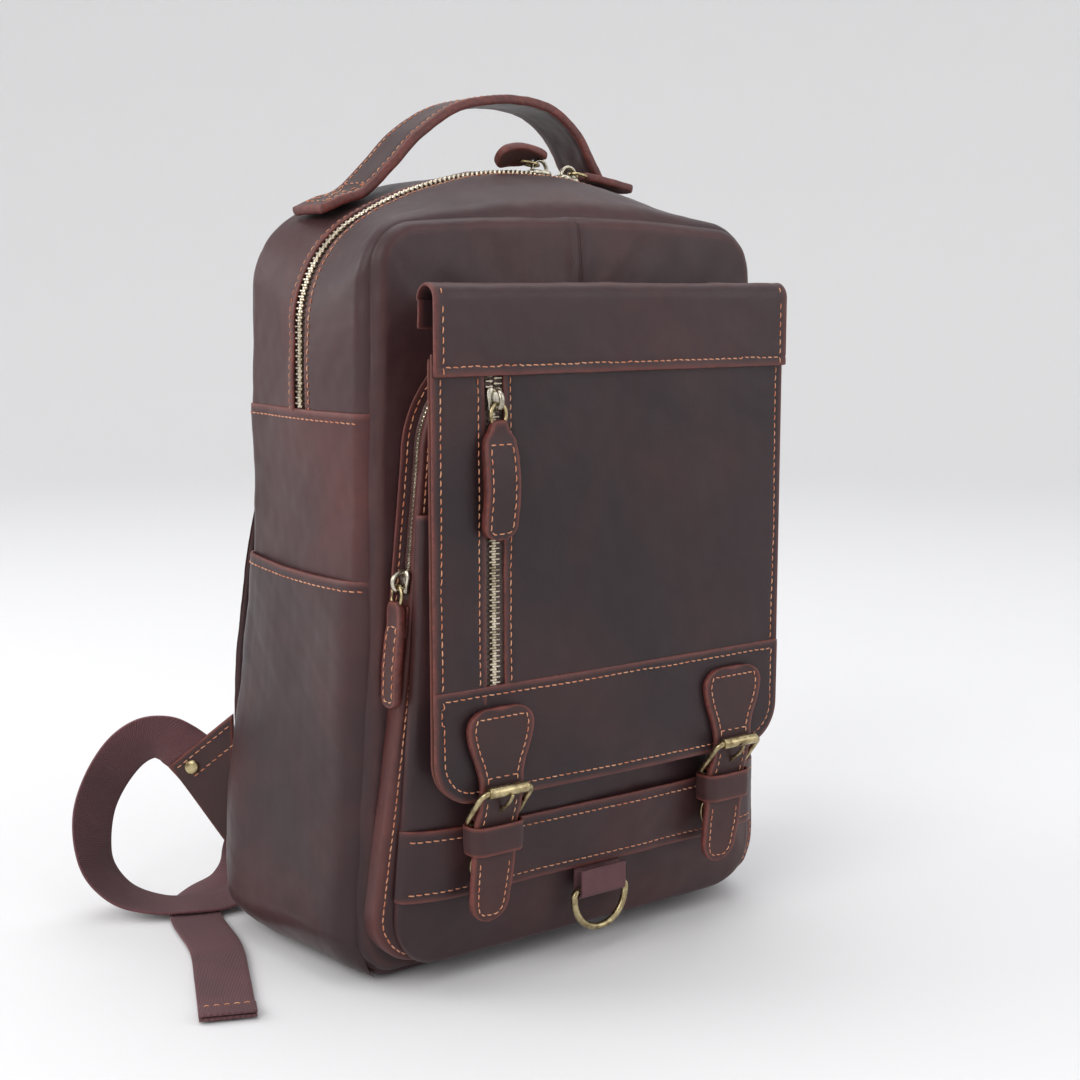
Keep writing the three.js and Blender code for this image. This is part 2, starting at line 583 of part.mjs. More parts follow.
// The frame is a rectangle of wire from the heel bar, behind the strap, to the roller in front of it.
function addBuckle(name, x) {
  const heel = v3(x, HEEL.y, HEEL.z), roller = v3(x, ROLLER.y, ROLLER.z);
  const down = heel.clone().sub(roller), reach = down.length();
  down.normalize();
  const corner = FRAME.cornerR;
  const at = (end, dx, back) => end.clone().add(v3(dx, 0, 0)).addScaledVector(down, back);
  const loop = [
    at(roller, -FRAME.half + corner, 0), at(roller, 0, 0), at(roller, FRAME.half - corner, 0),
    at(roller, FRAME.half, corner), at(heel, FRAME.half, -corner),
    at(heel, FRAME.half - corner, 0), at(heel, 0, 0), at(heel, -FRAME.half + corner, 0),
    at(heel, -FRAME.half, -corner), at(roller, -FRAME.half, corner),
  ];
  const forward = down.clone().cross(v3(1, 0, 0));
  add(`buckle_frame_${name}`, wire(loop, HEEL.r, forward), "antique_brass");
  add(`buckle_roller_${name}`,
    tubeAlongX(x, ROLLER.y, ROLLER.z, HEEL.r + RUNNING_GAP, ROLLER.r, 2 * ROLLER.half), "antique_brass");

  // The prong: an eye round the heel bar and a pin that ends on the roller.
  const rest = ROLLER.r + PIN_R + GAP;
  const pin = [[2.2, 0.6], [0.5 * reach, 2.6], [0.82 * reach, rest], [reach + 1.5, rest]].map(([along, lift]) =>
    heel.clone().addScaledVector(down, -along).addScaledVector(forward, lift));
  const eye = tubeAlongX(x, HEEL.y, HEEL.z, HEEL.r + RUNNING_GAP, HEEL.r + 1.5, 2.6);
  add(`buckle_prong_${name}`, join(eye, wire(pin, PIN_R, v3(1, 0, 0), { loop: false })), "antique_brass");
}

// The chape is leather folded round the heel bar, the keeper is a loop round both layers.
function addChapeAndKeeper(name, x) {
  const wrap = HEEL.r + GAP, outside = wrap + CHAPE.ply;
  const front = HEEL.y - outside, back = HEEL.y + outside;
  const section = [...halfRound(HEEL.y, HEEL.z, outside, 0), new THREE.Vector2(front + 0.6, KEEPER.bottom),
    new THREE.Vector2(front + 1.4, CHAPE.foot), new THREE.Vector2(back, CHAPE.foot)];
  const eye = [...halfRound(HEEL.y, HEEL.z, wrap, 0), ...halfRound(HEEL.y, HEEL.z - 2, wrap, Math.PI)];
  const window = box(x - 2.6, x + 2.6, -90, -70, HEEL.z - 4.5, HEEL.z + 8);
  const fold = barAlongX(section, x - CHAPE.half, x + CHAPE.half);
  const hole = barAlongX(eye, x - CHAPE.half - 1, x + CHAPE.half + 1);
  add(`chape_${name}`, cut(fold, hole, window), "strap_leather");
  const k = KEEPER;
  const ring = box(x - k.half, x + k.half, k.front, k.back, k.bottom, k.top);
  const innerFront = k.front + k.ply, innerBack = k.back - k.ply;
  const throat = box(x - k.innerHalf, x + k.innerHalf, innerFront, innerBack, k.bottom - 5, k.top + 5);
  add(`keeper_${name}`, cut(ring, throat), "strap_leather");
}

// The snap: a cap on the chape's back and a stud on the pocket's band.
function addSnap(name, x) {
  const chapeBack = HEEL.y + HEEL.r + GAP + CHAPE.ply;
  const inward = Math.abs(x) - SNAP.studR;
  const bandFace = pocketFaceY(inward, SNAP.z + SNAP.studR) - BAND.lift - OVERLAY;
  const disc = (y0, y1, r) => discAlongY(x, (y0 + y1) / 2, SNAP.z, r, y1 - y0);
  add(`snap_cap_${name}`, disc(chapeBack + GAP, SNAP.split - GAP / 2, SNAP.capR), "antique_brass");
  add(`snap_stud_${name}`, disc(SNAP.split + GAP / 2, bandFace - GAP, SNAP.studR), "antique_brass");
}

// ---------------------------------------------------------------- zip sliders and pulls
// A slider is built lying at the origin. It runs along X with its face to +Z, and its ring hangs towards +X.
function sliderGeometry() {
  const outline = [[-6, -3], [-3, -4.6], [6, -3.8], [6, 3.8], [-3, 4.6], [-6, 3]];
  const body = new THREE.Shape(outline.map(([x, y]) => new THREE.Vector2(x, y)));
  const plateGeometry = new THREE.ExtrudeGeometry(body, { depth: 2, bevelEnabled: false });
  const bridge = [[-4.5, 1.8], [-4, 5.4], [-1, 7.6], [2.5, 7.6], [4.6, 5.8], [5, 1.8]];
  const bow = wire(bridge.map(([x, z]) => v3(x, 0, z)), 1, v3(0, 1, 0), { sides: 6, loop: false });
  return join(plateGeometry.translate(0, 0, 0.6), bow);
}

function ringGeometry() {
  const points = range(12).map((i) => {
    const a = (2 * Math.PI * i) / 12;
    return v3(RING.nearX + RING.length * (1 - Math.cos(a)), RING.r * Math.sin(a), RING.z);
  });
  return wire(points, RING.wire, v3(0, 0, 1), { sides: 6 });
}

// The leather pull, which holds the ring's far end in a slot between its two layers.
function pullGeometry(length, half) {
  const ringEnd = RING.nearX + 2 * RING.length;
  const start = ringEnd - 2.6;
  const end = start + length;
  const ends = [[start, 3.4], [start + 3, 4.6], [start + 9, half - 0.6], [start + 18, half],
    [end - 7, half], [end - 2, half - 2], [end, half - 4.5]];
  const z = RING.z;
  const stations = ends.map(([x, width]) => ({ at: v3(x, 0, z), across: v3(0, 1, 0), half: width }));
  const slot = new THREE.BoxGeometry(8, 14, 2 * (RING.wire + GAP)).translate(ringEnd - 2.4, 0, z);
  return cut(strap(stations, PULL_THICK), slot);
}

function addSlider(name, at, xAxis, zAxis, { pull, half, lift = 0 }) {
  const yAxis = zAxis.clone().cross(xAxis).normalize();
  const place = new THREE.Matrix4().makeBasis(xAxis, yAxis, zAxis).setPosition(at);
  const swing = new THREE.Matrix4().makeTranslation(RING.nearX, 0, RING.z)
    .multiply(new THREE.Matrix4().makeRotationY(radians(-lift)))
    .multiply(new THREE.Matrix4().makeTranslation(-RING.nearX, 0, -RING.z));
  add(`${name}_slider`, sliderGeometry().applyMatrix4(place), "nickel");
  add(`${name}_ring`, ringGeometry().applyMatrix4(swing).applyMatrix4(place), "antique_brass");
  add(`${name}_pull`, pullGeometry(pull, half).applyMatrix4(swing).applyMatrix4(place), "strap_leather");
}

const FLAP_SLIDER_Z = 304;
const ORGANIZER_SLIDER_Z = 214;
const MAIN_SLIDERS = { left: 5, right: 10.5 }; // degrees from the middle of the crown

function addSliders() {
  addSlider("flap", v3(FLAP_ZIP.x, flapFrontY, FLAP_SLIDER_Z), v3(0, 0, -1), v3(0, -1, 0), { pull: 58, half: 9.5 });

  const o = ORGANIZER;
  const slope = (o.bottomHalf - o.topHalf) / (o.top - o.topR - o.bottom - o.bottomR);
  const x = slope * (ORGANIZER_SLIDER_Z - o.bottom - o.bottomR) - o.bottomHalf;
  const down = v3(-slope, 0, -1).normalize(), out = v3(-1, 0, slope).normalize();
  const y = panelFaceY(x, ORGANIZER_SLIDER_Z) - GAP - o.depth / 2;
  addSlider("organizer", v3(x, y, ORGANIZER_SLIDER_Z), down, out, { pull: 52, half: 6 });

  const zipY = lerp(FRONT_Y, BACK_Y, ZIP_SHARE), centreZ = ZIP_OUTLINE.top - ZIP_OUTLINE.crownR;
  Object.entries(SIDES).forEach(([name, side]) => {
    const a = radians(MAIN_SLIDERS[name]);
    const normal = v3(Math.sin(a), 0, Math.cos(a));
    const along = v3(Math.cos(a), 0, -Math.sin(a)).multiplyScalar(side);
    const at = v3(0, zipY, centreZ).addScaledVector(normal, ZIP_OUTLINE.crownR);
    addSlider(`main_${name}`, at, along, normal, { pull: 34, half: 7, lift: side < 0 ? 14 : 0 });
  });
}

// ---------------------------------------------------------------- handle, arm straps and webbing
function addHandle() {
  const { y, half, thick, padEnd, padStart } = HANDLE;
  const crown = (x) => BACK_OUTLINE.top - BACK_OUTLINE.crownR + Math.sqrt(BACK_OUTLINE.crownR ** 2 - x * x);
  const seat = (x) => v3(x, y, crown(x) + thick / 2 + 1);
  const middle = (padStart + padEnd) / 2;
  const arch = [[-67, 423], [-48, 441], [-22, 456], [10, 461], [38, 457.5], [58, 444], [71, 425]];
  const line = [seat(-padEnd), seat(-middle), seat(-padStart), ...arch.map(([x, z]) => v3(x, y, z)),
    seat(padStart), seat(middle), seat(padEnd)];
  const stations = smoothPath(line, 36).map((at) => ({ at, across: v3(0, 1, 0), half }));
  add("top_handle", strap(stations, thick), "strap_leather");
}

// A band of webbing through points. Each point gives a place, then two angles in degrees: the heading of the
// level direction across the band, and how far the band is twisted up from it. They are written for the right side.
function ribbon(points, steps, side) {
  const places = new THREE.CatmullRomCurve3(points.map(([x, y, z]) => v3(side * x, y, z)), false, "catmullrom");
  const angles = new THREE.CatmullRomCurve3(points.map((p) => v3(p[3], p[4], 0)), false, "catmullrom");
  return range(steps + 1).map((i) => {
    const at = places.getPoint(i / steps), along = places.getTangent(i / steps), turn = angles.getPoint(i / steps);
    const level = v3(side * Math.cos(radians(turn.x)), Math.sin(radians(turn.x)), 0);
    const upright = along.clone().cross(level).normalize().multiplyScalar(-side * Math.sin(radians(turn.y)));
    return { at, across: level.multiplyScalar(Math.cos(radians(turn.y))).add(upright), half: WEBBING.half };
  });
}

const WEBBING_ROUTE = [
  [155.6, 118, 98.6, -50, 90], [162, 123, 103, -50, 80], [171, 130.5, 103, -50, 66], [180.5, 138.5, 95, -50, 56],
  [189.5, 146, 79, -50, 48], [195.5, 151, 60, -50, 44], [196.5, 152, 39, -50, 38], [193, 149.5, 22.5, -50, 25],
  [183, 141, 9.5, -50, 10], [168, 128, 4.4, -50, 0], [151, 118, 4.2, -62, 0], [133, 114, 4.2, -80, 0],
  [117, 116.5, 9.5, -105, 0], [107.5, 120, 23, -145, 0], [104, 121, 40, -180, 0], [104, 121, 57, -180, 0],
];
const TAIL_ROUTES = {
  left: [
    [104, 130, 57, -180, 0], [105, 133, 36, -165, 0], [110, 137, 16, -130, 0], [119, 139.5, 5, -107, 0],
    [133, 137, 1.8, -117, 0], [148, 123, 1.3, -138, 0], [158, 98, 1.3, -162, 0], [168, 55, 1.3, -166, 0],
    [184, 15, 1.3, -159, 0], [204, -32, 1.3, -157, 0],
  ],
  right: [
    [104, 130, 57, -180, 0], [104, 134, 36, -180, 0], [105, 142, 15, -180, 0], [106, 152, 4.8, -182, 0],
    [108, 165, 1.6, -184, 0], [110, 180, 1.3, -184, 0], [112, 205, 1.3, -183, 0],
  ],
};

function addArmStrap(name, side) {
  const { thick, glideX, glideY, glideZ } = ARM_STRAP;
  const points = [[40, 90, 393, 21], [43, 101, 374, 22], [54, 116, 325, 25], [70, 121, 262, 26], [85, 122, 200, 25],
    [97, 122, 140, 21], [103, glideY, 104, 17], [glideX, glideY, 84, 15.5]];
  const curve = smoothPath(points.map(([x, y, z]) => v3(side * x, y, z)), 20);
  const widths = points.map(([, , z, half]) => [z, half]);
  const stations = curve.map((at) => ({ at, across: v3(1, 0, 0), half: halfAt([[400, 21], ...widths], at.z) }));
  add(`shoulder_strap_${name}`, strap(stations, thick), "strap_leather");

  const x = side * glideX, bottom = glideZ - GLIDE.height / 2, y0 = glideY - GLIDE.thick / 2;
  const glide = box(x - GLIDE.half, x + GLIDE.half, y0, y0 + GLIDE.thick, bottom, bottom + GLIDE.height);
  const slots = [-1, 1].map((way) => {
    const z = glideZ + way * (GLIDE.slot / 2 + 2);
    return box(x - GLIDE.slotHalf, x + GLIDE.slotHalf, 0, 200, z - GLIDE.slot / 2, z + GLIDE.slot / 2);
  });
  add(`strap_glide_${name}`, cut(glide, ...slots), "antique_brass");

  // The webbing stops at the glide, and its free tail starts there.
  add(`webbing_${name}`, strap(ribbon(WEBBING_ROUTE, 45, side), WEBBING.thick), "webbing");
  add(`webbing_tail_${name}`, strap(ribbon(TAIL_ROUTES[name], 24, side), WEBBING.thick), "webbing");

  // The three-cornered tab that holds the webbing's fixed end, sewn into the back seam.
  const face = TAB.corners.map(([x0, y, z]) => v3(side * x0, y, z));
  const way = face[1].clone().sub(face[0]).cross(face[3].clone().sub(face[0])).normalize();
  const shift = (k) => face.map((p) => p.clone().addScaledVector(way, k * TAB.thick / 2));
  add(`webbing_tab_${name}`, ringSolid([shift(-1), shift(1)]), "strap_leather");
}

addBody();
addFrontPockets();
addDRing();
addFlap();
addSliders();
addHandle();
Object.entries(SIDES).forEach(([name, side]) => {
  addSidePocket(`side_pocket_${name}`, side);
  [addBillet, addBuckle, addChapeAndKeeper, addSnap].forEach((make) => make(name, side * BUCKLE_X));
  addArmStrap(name, side);
});

export default backpack;
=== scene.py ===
import math

import bmesh
import bpy
import numpy as np
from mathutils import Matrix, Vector
from mathutils.bvhtree import BVHTree


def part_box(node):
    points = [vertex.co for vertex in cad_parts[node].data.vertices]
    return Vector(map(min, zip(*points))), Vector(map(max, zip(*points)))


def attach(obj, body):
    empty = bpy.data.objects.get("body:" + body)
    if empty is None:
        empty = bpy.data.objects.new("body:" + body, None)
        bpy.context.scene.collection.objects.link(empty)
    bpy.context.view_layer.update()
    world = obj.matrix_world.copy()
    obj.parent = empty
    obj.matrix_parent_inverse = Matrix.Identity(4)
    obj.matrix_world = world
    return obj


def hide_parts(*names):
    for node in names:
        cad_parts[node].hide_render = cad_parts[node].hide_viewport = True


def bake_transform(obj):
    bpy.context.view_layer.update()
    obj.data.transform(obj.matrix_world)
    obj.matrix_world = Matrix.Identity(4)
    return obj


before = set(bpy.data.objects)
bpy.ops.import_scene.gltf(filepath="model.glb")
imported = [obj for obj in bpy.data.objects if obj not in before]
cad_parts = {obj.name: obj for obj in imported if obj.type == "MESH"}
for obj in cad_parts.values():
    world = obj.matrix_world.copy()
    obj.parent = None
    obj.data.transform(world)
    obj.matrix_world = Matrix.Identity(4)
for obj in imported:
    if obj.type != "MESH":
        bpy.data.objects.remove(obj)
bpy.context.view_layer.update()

MM = 0.001
SIDES = {"left": -1, "right": 1}
FORWARD, BACKWARD, UPWARD = (0, -1, 0), (0, 1, 0), (0, 0, 1)

# ---------------------------------------------------------------- the CAD's dimensions
GAP, LEATHER = 0.4, 2.4
FRONT_OUTLINE = dict(bottom_half=137, top_half=129, bottom_r=28, corner_r=30, crown_r=1145, top=399)
ZIP_OUTLINE = dict(bottom_half=140, top_half=134, bottom_r=28, corner_r=63, crown_r=200, top=420)
BACK_OUTLINE = dict(bottom_half=138, top_half=131, bottom_r=28, corner_r=44, crown_r=270, top=418)
FRONT_Y, FRONT_Y_FOOT, BACK_Y, BACK_Y_FOOT = -46, 10, 72, 24
ZIP_SHARE, ZIP_HALF, ZIP_END_Z = 0.46, 7, 296
PANEL_SWELL, PANEL_SWELL_FOOT, BACK_PAD = 5, 5, 9
SIDE_POCKET_MOUTH_Z, SIDE_POCKET_ROOM = 213, 8
ORGANIZER = dict(bottom_half=131, top_half=108, bottom=14, top=330, bottom_r=26, top_r=56)
ORGANIZER_DEPTH, ORGANIZER_ZIP_END_Z = 11.5, 202
FLAP_POCKET = dict(bottom_half=122, top_half=112, bottom=11, top=247, bottom_r=28, top_r=1)
FLAP_POCKET_DEPTH, FLAP_POCKET_RIM = 8, 0.5
BAND_HALF, BAND_BOTTOM, BAND_TOP, OVERLAY = 117, 50, 87, 2.2
FLAP_HALF, FLAP_TOP, FLAP_BOTTOM, FLAP_CORNER_R, FLAP_BACK_Y, FLAP_THICK = 115, 352, 104, 22, -80, 3
STRIP_BOTTOM_Z, FLAP_BAND_TOP_Z, ROLL_R = 316, 161, 6.5
FLAP_ZIP_X, FLAP_ZIP_HALF = -79, 6.2
BUCKLE_X = 78.5
HEEL_Y, HEEL_Z, HEEL_R = -79.3, 91, 1.5
ROLLER_Y, ROLLER_Z, ROLLER_R = -94.6, 110, 2.9
SNAP_Z = 66
MAIN_ZIP_CENTRE_Z, MAIN_ZIP_R = 220, 200
HANDLE_Y, HANDLE_HALF, HANDLE_THICK = 40, 15, 5
WEBBING_HALF, WEBBING_THICK = 14, 1.6

# The middle lines that the rings of each plate close in on: their lowest and highest Z.
BODY_SPINE, ORGANIZER_SPINE, POCKET_SPINE = (150, 300), (130, 230), (110, FLAP_POCKET["top"])
FLAP_BACK_TOP = 324
FLAP_SPINE, FLAP_BAND_SPINE = (140, FLAP_BACK_TOP), (132, FLAP_BAND_TOP_Z)

# How far in from a cut edge the stitches run.
SEAM = 4.2


def smooth(x):
    x = np.clip(x, 0, 1)
    return x * x * (3 - 2 * x)


def lerp(a, b, t):
    return a + (b - a) * t


def unit(v):
    v = np.asarray(v, float)
    return v / np.maximum(np.linalg.norm(v, axis=-1, keepdims=True), 1e-9)


def bump_at(d, width, power=2):
    """1 where d is 0, falling smoothly to 0 past the width."""
    return np.exp(-(d / width) ** power)


def run_of(points):
    """The distance run along a line at each of its points."""
    return np.concatenate([[0], np.cumsum(np.linalg.norm(np.diff(points, axis=0), axis=1))])


def at_run(where, run, points):
    """Places on a line at the given distances along it."""
    return np.stack([np.interp(where, run, points[:, k]) for k in range(points.shape[1])], 1)


def arc_turn(a0, a1, count):
    """Pairs of cosine and sine from one angle to another."""
    return [(math.cos(a), math.sin(a)) for a in np.linspace(a0, a1, count)]


def inward_of(loop, closed=True):
    """Unit vectors across a clockwise outline, towards its inside."""
    along = np.roll(loop, -1, 0) - np.roll(loop, 1, 0) if closed else np.gradient(loop, axis=0)
    return unit(np.stack([along[:, 1], -along[:, 0]], 1))


# ---------------------------------------------------------------- surfaces, as the CAD has them
def front_seam_y(z):
    return FRONT_Y + FRONT_Y_FOOT * smooth((210 - z) / 190)


def back_seam_y(z):
    return BACK_Y + BACK_Y_FOOT * smooth((230 - z) / 190)


def rim_share(x, z):
    return np.minimum(1, np.maximum(abs(x) / 136, abs(z - 200) / 200))


def panel_face_y(x, z):
    swell = PANEL_SWELL + PANEL_SWELL_FOOT * smooth((210 - z) / 150)
    return front_seam_y(z) - GAP - LEATHER - swell * (1 - rim_share(x, z) ** 4)


def back_face_y(x, z):
    return back_seam_y(z) + GAP + LEATHER + BACK_PAD * (1 - rim_share(x, z) ** 4)


def organizer_face_y(x, z):
    return panel_face_y(x, z) - ORGANIZER_DEPTH


def pocket_face_y(x, z):
    share = np.minimum(1, np.maximum(abs(x) / 118, (137 - z) / 125))
    return organizer_face_y(x, z) - GAP - FLAP_POCKET_DEPTH * (1 - (1 - FLAP_POCKET_RIM) * share ** 4)


def outline_point(o, part, f):
    """x, z and the normal's x, z on the right half of a body outline."""
    corner_x = o["top_half"] - o["corner_r"]
    crown_z = o["top"] - o["crown_r"]
    corner_z = crown_z + math.sqrt((o["crown_r"] - o["corner_r"]) ** 2 - corner_x ** 2)
    meet = math.atan2(corner_z - crown_z, corner_x)

    def arc(x, z, r, a):
        return np.array([x + r * math.cos(a), z + r * math.sin(a), math.cos(a), math.sin(a)])

    if part == "bottom":
        return np.array([f * (o["bottom_half"] - o["bottom_r"]), 0, 0, -1])
    if part == "foot":
        return arc(o["bottom_half"] - o["bottom_r"], o["bottom_r"], o["bottom_r"], (f - 1) * math.pi / 2)
    if part == "corner":
        return arc(corner_x, corner_z, o["corner_r"], f * meet)
    if part == "crown":
        return arc(0, crown_z, o["crown_r"], lerp(meet, math.pi / 2, f))
    z = lerp(ZIP_END_Z, corner_z, f) if part == "top" else f
    x = lerp(o["bottom_half"], o["top_half"], (z - o["bottom_r"]) / (corner_z - o["bottom_r"]))
    return np.array([x, z, 1, 0])


def body_row(station, t, out, side):
    """Points of the body's wall at one station, at shares t from the front seam to the back seam."""
    a, b, c = (outline_point(o, *station) for o in (FRONT_OUTLINE, ZIP_OUTLINE, BACK_OUTLINE))
    ease_front = np.sin(np.clip(t / ZIP_SHARE, 0, 1) * math.pi / 2)[:, None]
    ease_back = smooth((t - ZIP_SHARE) / (1 - ZIP_SHARE))[:, None]
    mix = np.where((t < ZIP_SHARE)[:, None], lerp(a, b, ease_front), lerp(b, c, ease_back))
    x, z, nx, nz = mix.T
    return np.stack([side * (x + out * nx), lerp(front_seam_y(z), back_seam_y(z), t), z + out * nz], 1)


LOW = [("bottom", f) for f in np.linspace(0, 1, 30)] + [("foot", f) for f in np.linspace(0.06, 1, 16)]
LOW += [("side", z) for z in np.linspace(31, ZIP_END_Z, 100)]
HIGH = [("top", f) for f in np.linspace(0, 1, 26)] + [("corner", f) for f in np.linspace(0.04, 1, 32)]
HIGH += [("crown", f) for f in np.linspace(0.02, 1, 44)]


def both_sides(half):
    """The stations of a right half and of its mirror image, in one row from right to left."""
    return [(s, 1) for s in half] + [(s, -1) for s in half[-2::-1]]


def body_grid(stations, t, out):
    return np.array([body_row(s, t, out(s, t) if callable(out) else out, side) for s, side in stations])


def rounded(dist, r):
    """How far a surface falls away at a distance from its edge that is rounded with radius r."""
    d = np.clip(r - dist, 0, r)
    return r - np.sqrt(np.maximum(r * r - d * d, 0))


# ---------------------------------------------------------------- soft unevenness of the leather
def waves(p, wavelength, seed):
    """A smooth random field of about +-1 over points in millimetres."""
    rng = np.random.default_rng(seed)
    total = np.zeros(p.shape[:-1])
    for _ in range(9):
        k = unit(rng.normal(size=3)) * 2 * math.pi / (wavelength * rng.uniform(0.7, 1.5))
        total += np.sin(p @ k + rng.uniform(0, 2 * math.pi))
    return total / 4.5


def grid_normals(grid, closed=False):
    du = np.gradient(grid, axis=0)
    if closed:
        dv = np.roll(grid, -1, 1) - np.roll(grid, 1, 1)
    else:
        dv = np.gradient(grid, axis=1)
    n = np.cross(du, dv)
    weak = np.linalg.norm(n, axis=-1) < 1e-6
    if weak.any():
        n[weak] = np.median(n[~weak], axis=0)
    return unit(n)


def lived_in(grid, seed, low=0.5, fine=0.12, closed=False, keep=None):
    """Moves a grid's points along its normals by soft dents and small creases."""
    move = low * waves(grid, 70, seed) + 0.4 * low * waves(grid, 26, seed + 1) + fine * waves(grid, 9,
            seed + 2)
    if keep is not None:
        move = move * keep
    return grid + grid_normals(grid, closed) * move[..., None]


# ---------------------------------------------------------------- meshes
TREES = {}


def make(name, verts, faces, material, body=None, edge=None, slots=None, merge=False, shade=True):
    """A mesh object from millimetre points. edge is 0 to 1 for worn edges, slots the material index of each face."""
    mesh = bpy.data.meshes.new(name)
    mesh.from_pydata((np.asarray(verts, float) * MM).tolist(), [], [list(f) for f in faces])
    for m in material if isinstance(material, (list, tuple)) else [material]:
        mesh.materials.append(m)
    if slots is not None:
        mesh.polygons.foreach_set("material_index", np.asarray(slots, np.int32))
    if edge is not None:
        mesh.attributes.new("edge", "FLOAT", "POINT").data.foreach_set("value", np.asarray(edge,
                np.float32).ravel())
    bm = bmesh.new()
    bm.from_mesh(mesh)
    if merge:
        bmesh.ops.remove_doubles(bm, verts=bm.verts, dist=2e-5)
        bmesh.ops.dissolve_degenerate(bm, edges=bm.edges, dist=1e-6)
    bmesh.ops.recalc_face_normals(bm, faces=bm.faces)
    bm.to_mesh(mesh)
    bm.free()
    if shade:
        mesh.polygons.foreach_set("use_smooth", [True] * len(mesh.polygons))
    obj = bpy.data.objects.new(name, mesh)
    bpy.context.scene.collection.objects.link(obj)
    TREES[name] = BVHTree.FromPolygons([v.co for v in mesh.vertices], [p.vertices for p in mesh.polygons])
    if body:
        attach(obj, body)
    return obj


def grid_faces(rows, columns, start=0, closed=False):
    wide = columns if closed else columns - 1
    return [
        (start + i * columns + j, start + i * columns + (j + 1) % columns,
         start + (i + 1) * columns + (j + 1) % columns, start + (i + 1) * columns + j)
        for i in range(rows - 1) for j in range(wide)
    ]


def capped_faces(rows, columns):
    """Faces of a grid that is closed all round, with a flat cap at each end."""
    last = (rows - 1) * columns
    return grid_faces(rows, columns, closed=True) + [tuple(range(columns)),
                                                     tuple(range(last, last + columns))]


def declare(piece, node_name=None):
    """Hides the CAD node that a piece stands for, where one is given."""
    if node_name:
        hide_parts(node_name)


def border_chains(rows, columns, closed, sides):
    """The runs of (index, inner neighbour) along the cut sides of a grid, and whether each closes on itself."""
    def numbered(walk):
        inner = [(min(max(i, 1), rows - 2), j if closed else min(max(j, 1), columns - 2)) for i, j in walk]
        return [(i * columns + j, m * columns + n) for (i, j), (m, n) in zip(walk, inner)]

    runs = {
        "left": [(i, 0) for i in range(rows - 1, -1, -1)],
        "first": [(0, j) for j in range(columns)],
        "right": [(i, columns - 1) for i in range(rows)],
        "last": [(rows - 1, j) for j in range(columns - 1, -1, -1)],
    }
    if closed:
        return [(numbered(runs[s]), True) for s in ("first", "last") if s in sides]
    order = list(runs)
    if len(sides) == 4:
        return [(numbered([at for s in order for at in runs[s][:-1]]), True)]
    start = next(k for k, s in enumerate(order) if s in sides and order[k - 1] not in sides)
    chains, current = [], []
    for s in order[start:] + order[:start]:
        if s in sides:
            current = current + runs[s][1 if current else 0:]
        elif current:
            chains.append((numbered(current), False))
            current = []
    return chains + ([(numbered(current), False)] if current else [])


def sheet(name, grid, thick, material, body, closed=False, sides=("left", "first", "right", "last"),
          edge_wear=5.0, bulge=0.6, wear=None, merge=False, rim=None, facing=None):
    """Leather of real thickness: the grid is its outer face, and its cut edges are rounded and painted."""
    rows, columns = grid.shape[:2]
    n = grid_normals(grid, closed) if facing is None else np.broadcast_to(facing, grid.shape)
    outer, normal = grid.reshape(-1, 3), n.reshape(-1, 3)
    thick = np.broadcast_to(thick, grid.shape[:2]).reshape(-1, 1)
    verts = [outer, outer - normal * thick]
    count = rows * columns
    faces = grid_faces(rows, columns, closed=closed) + grid_faces(rows, columns, count, closed)
    slots = [0] * len(faces)
    total, steps = 2 * count, 5
    for chain, around in border_chains(rows, columns, closed, sides):
        index = np.array([c[0] for c in chain])
        away = unit(outer[index] - outer[[c[1] for c in chain]])
        away = unit(away - normal[index] * np.sum(away * normal[index], 1, keepdims=True))
        loops = [index]
        for k in range(1, steps):
            a = math.pi * k / steps
            verts.append(outer[index] - normal[index] * thick[index] / 2 * (1 - math.cos(a)) + away * bulge
                         * math.sin(a))
            loops.append(total + np.arange(len(index)))
            total += len(index)
        loops.append(index + count)
        for a, b in zip(loops, loops[1:]):
            for j in range(len(index) if around else len(index) - 1):
                k = (j + 1) % len(index)
                faces.append((a[j], a[k], b[k], b[j]))
    slots += [1] * (len(faces) - len(slots))
    verts = np.concatenate(verts)
    if wear is None:
        wear = edge_distance(grid, closed, sides)
    share = np.clip(1 - wear.ravel() / edge_wear, 0, 1)
    edge = np.concatenate([share, share, np.ones(len(verts) - 2 * count)])
    return make(name, verts, faces, [material, rim or MATERIAL["edge_paint"]], body, edge, slots, merge)


def edge_distance(grid, closed, sides):
    """Each grid point's distance along the surface from the nearest cut edge."""
    rows, columns = grid.shape[:2]
    steps = np.linalg.norm(np.diff(grid, axis=0), axis=-1)
    down = np.concatenate([np.zeros((1, columns)), np.cumsum(steps, 0)])
    options = []
    if "first" in sides:
        options.append(down)
    if "last" in sides:
        options.append(down[-1:] - down)
    if not closed:
        steps = np.linalg.norm(np.diff(grid, axis=1), axis=-1)
        across = np.concatenate([np.zeros((rows, 1)), np.cumsum(steps, 1)], 1)
        if "left" in sides:
            options.append(across)
        if "right" in sides:
            options.append(across[:, -1:] - across)
    return np.min(options, axis=0)


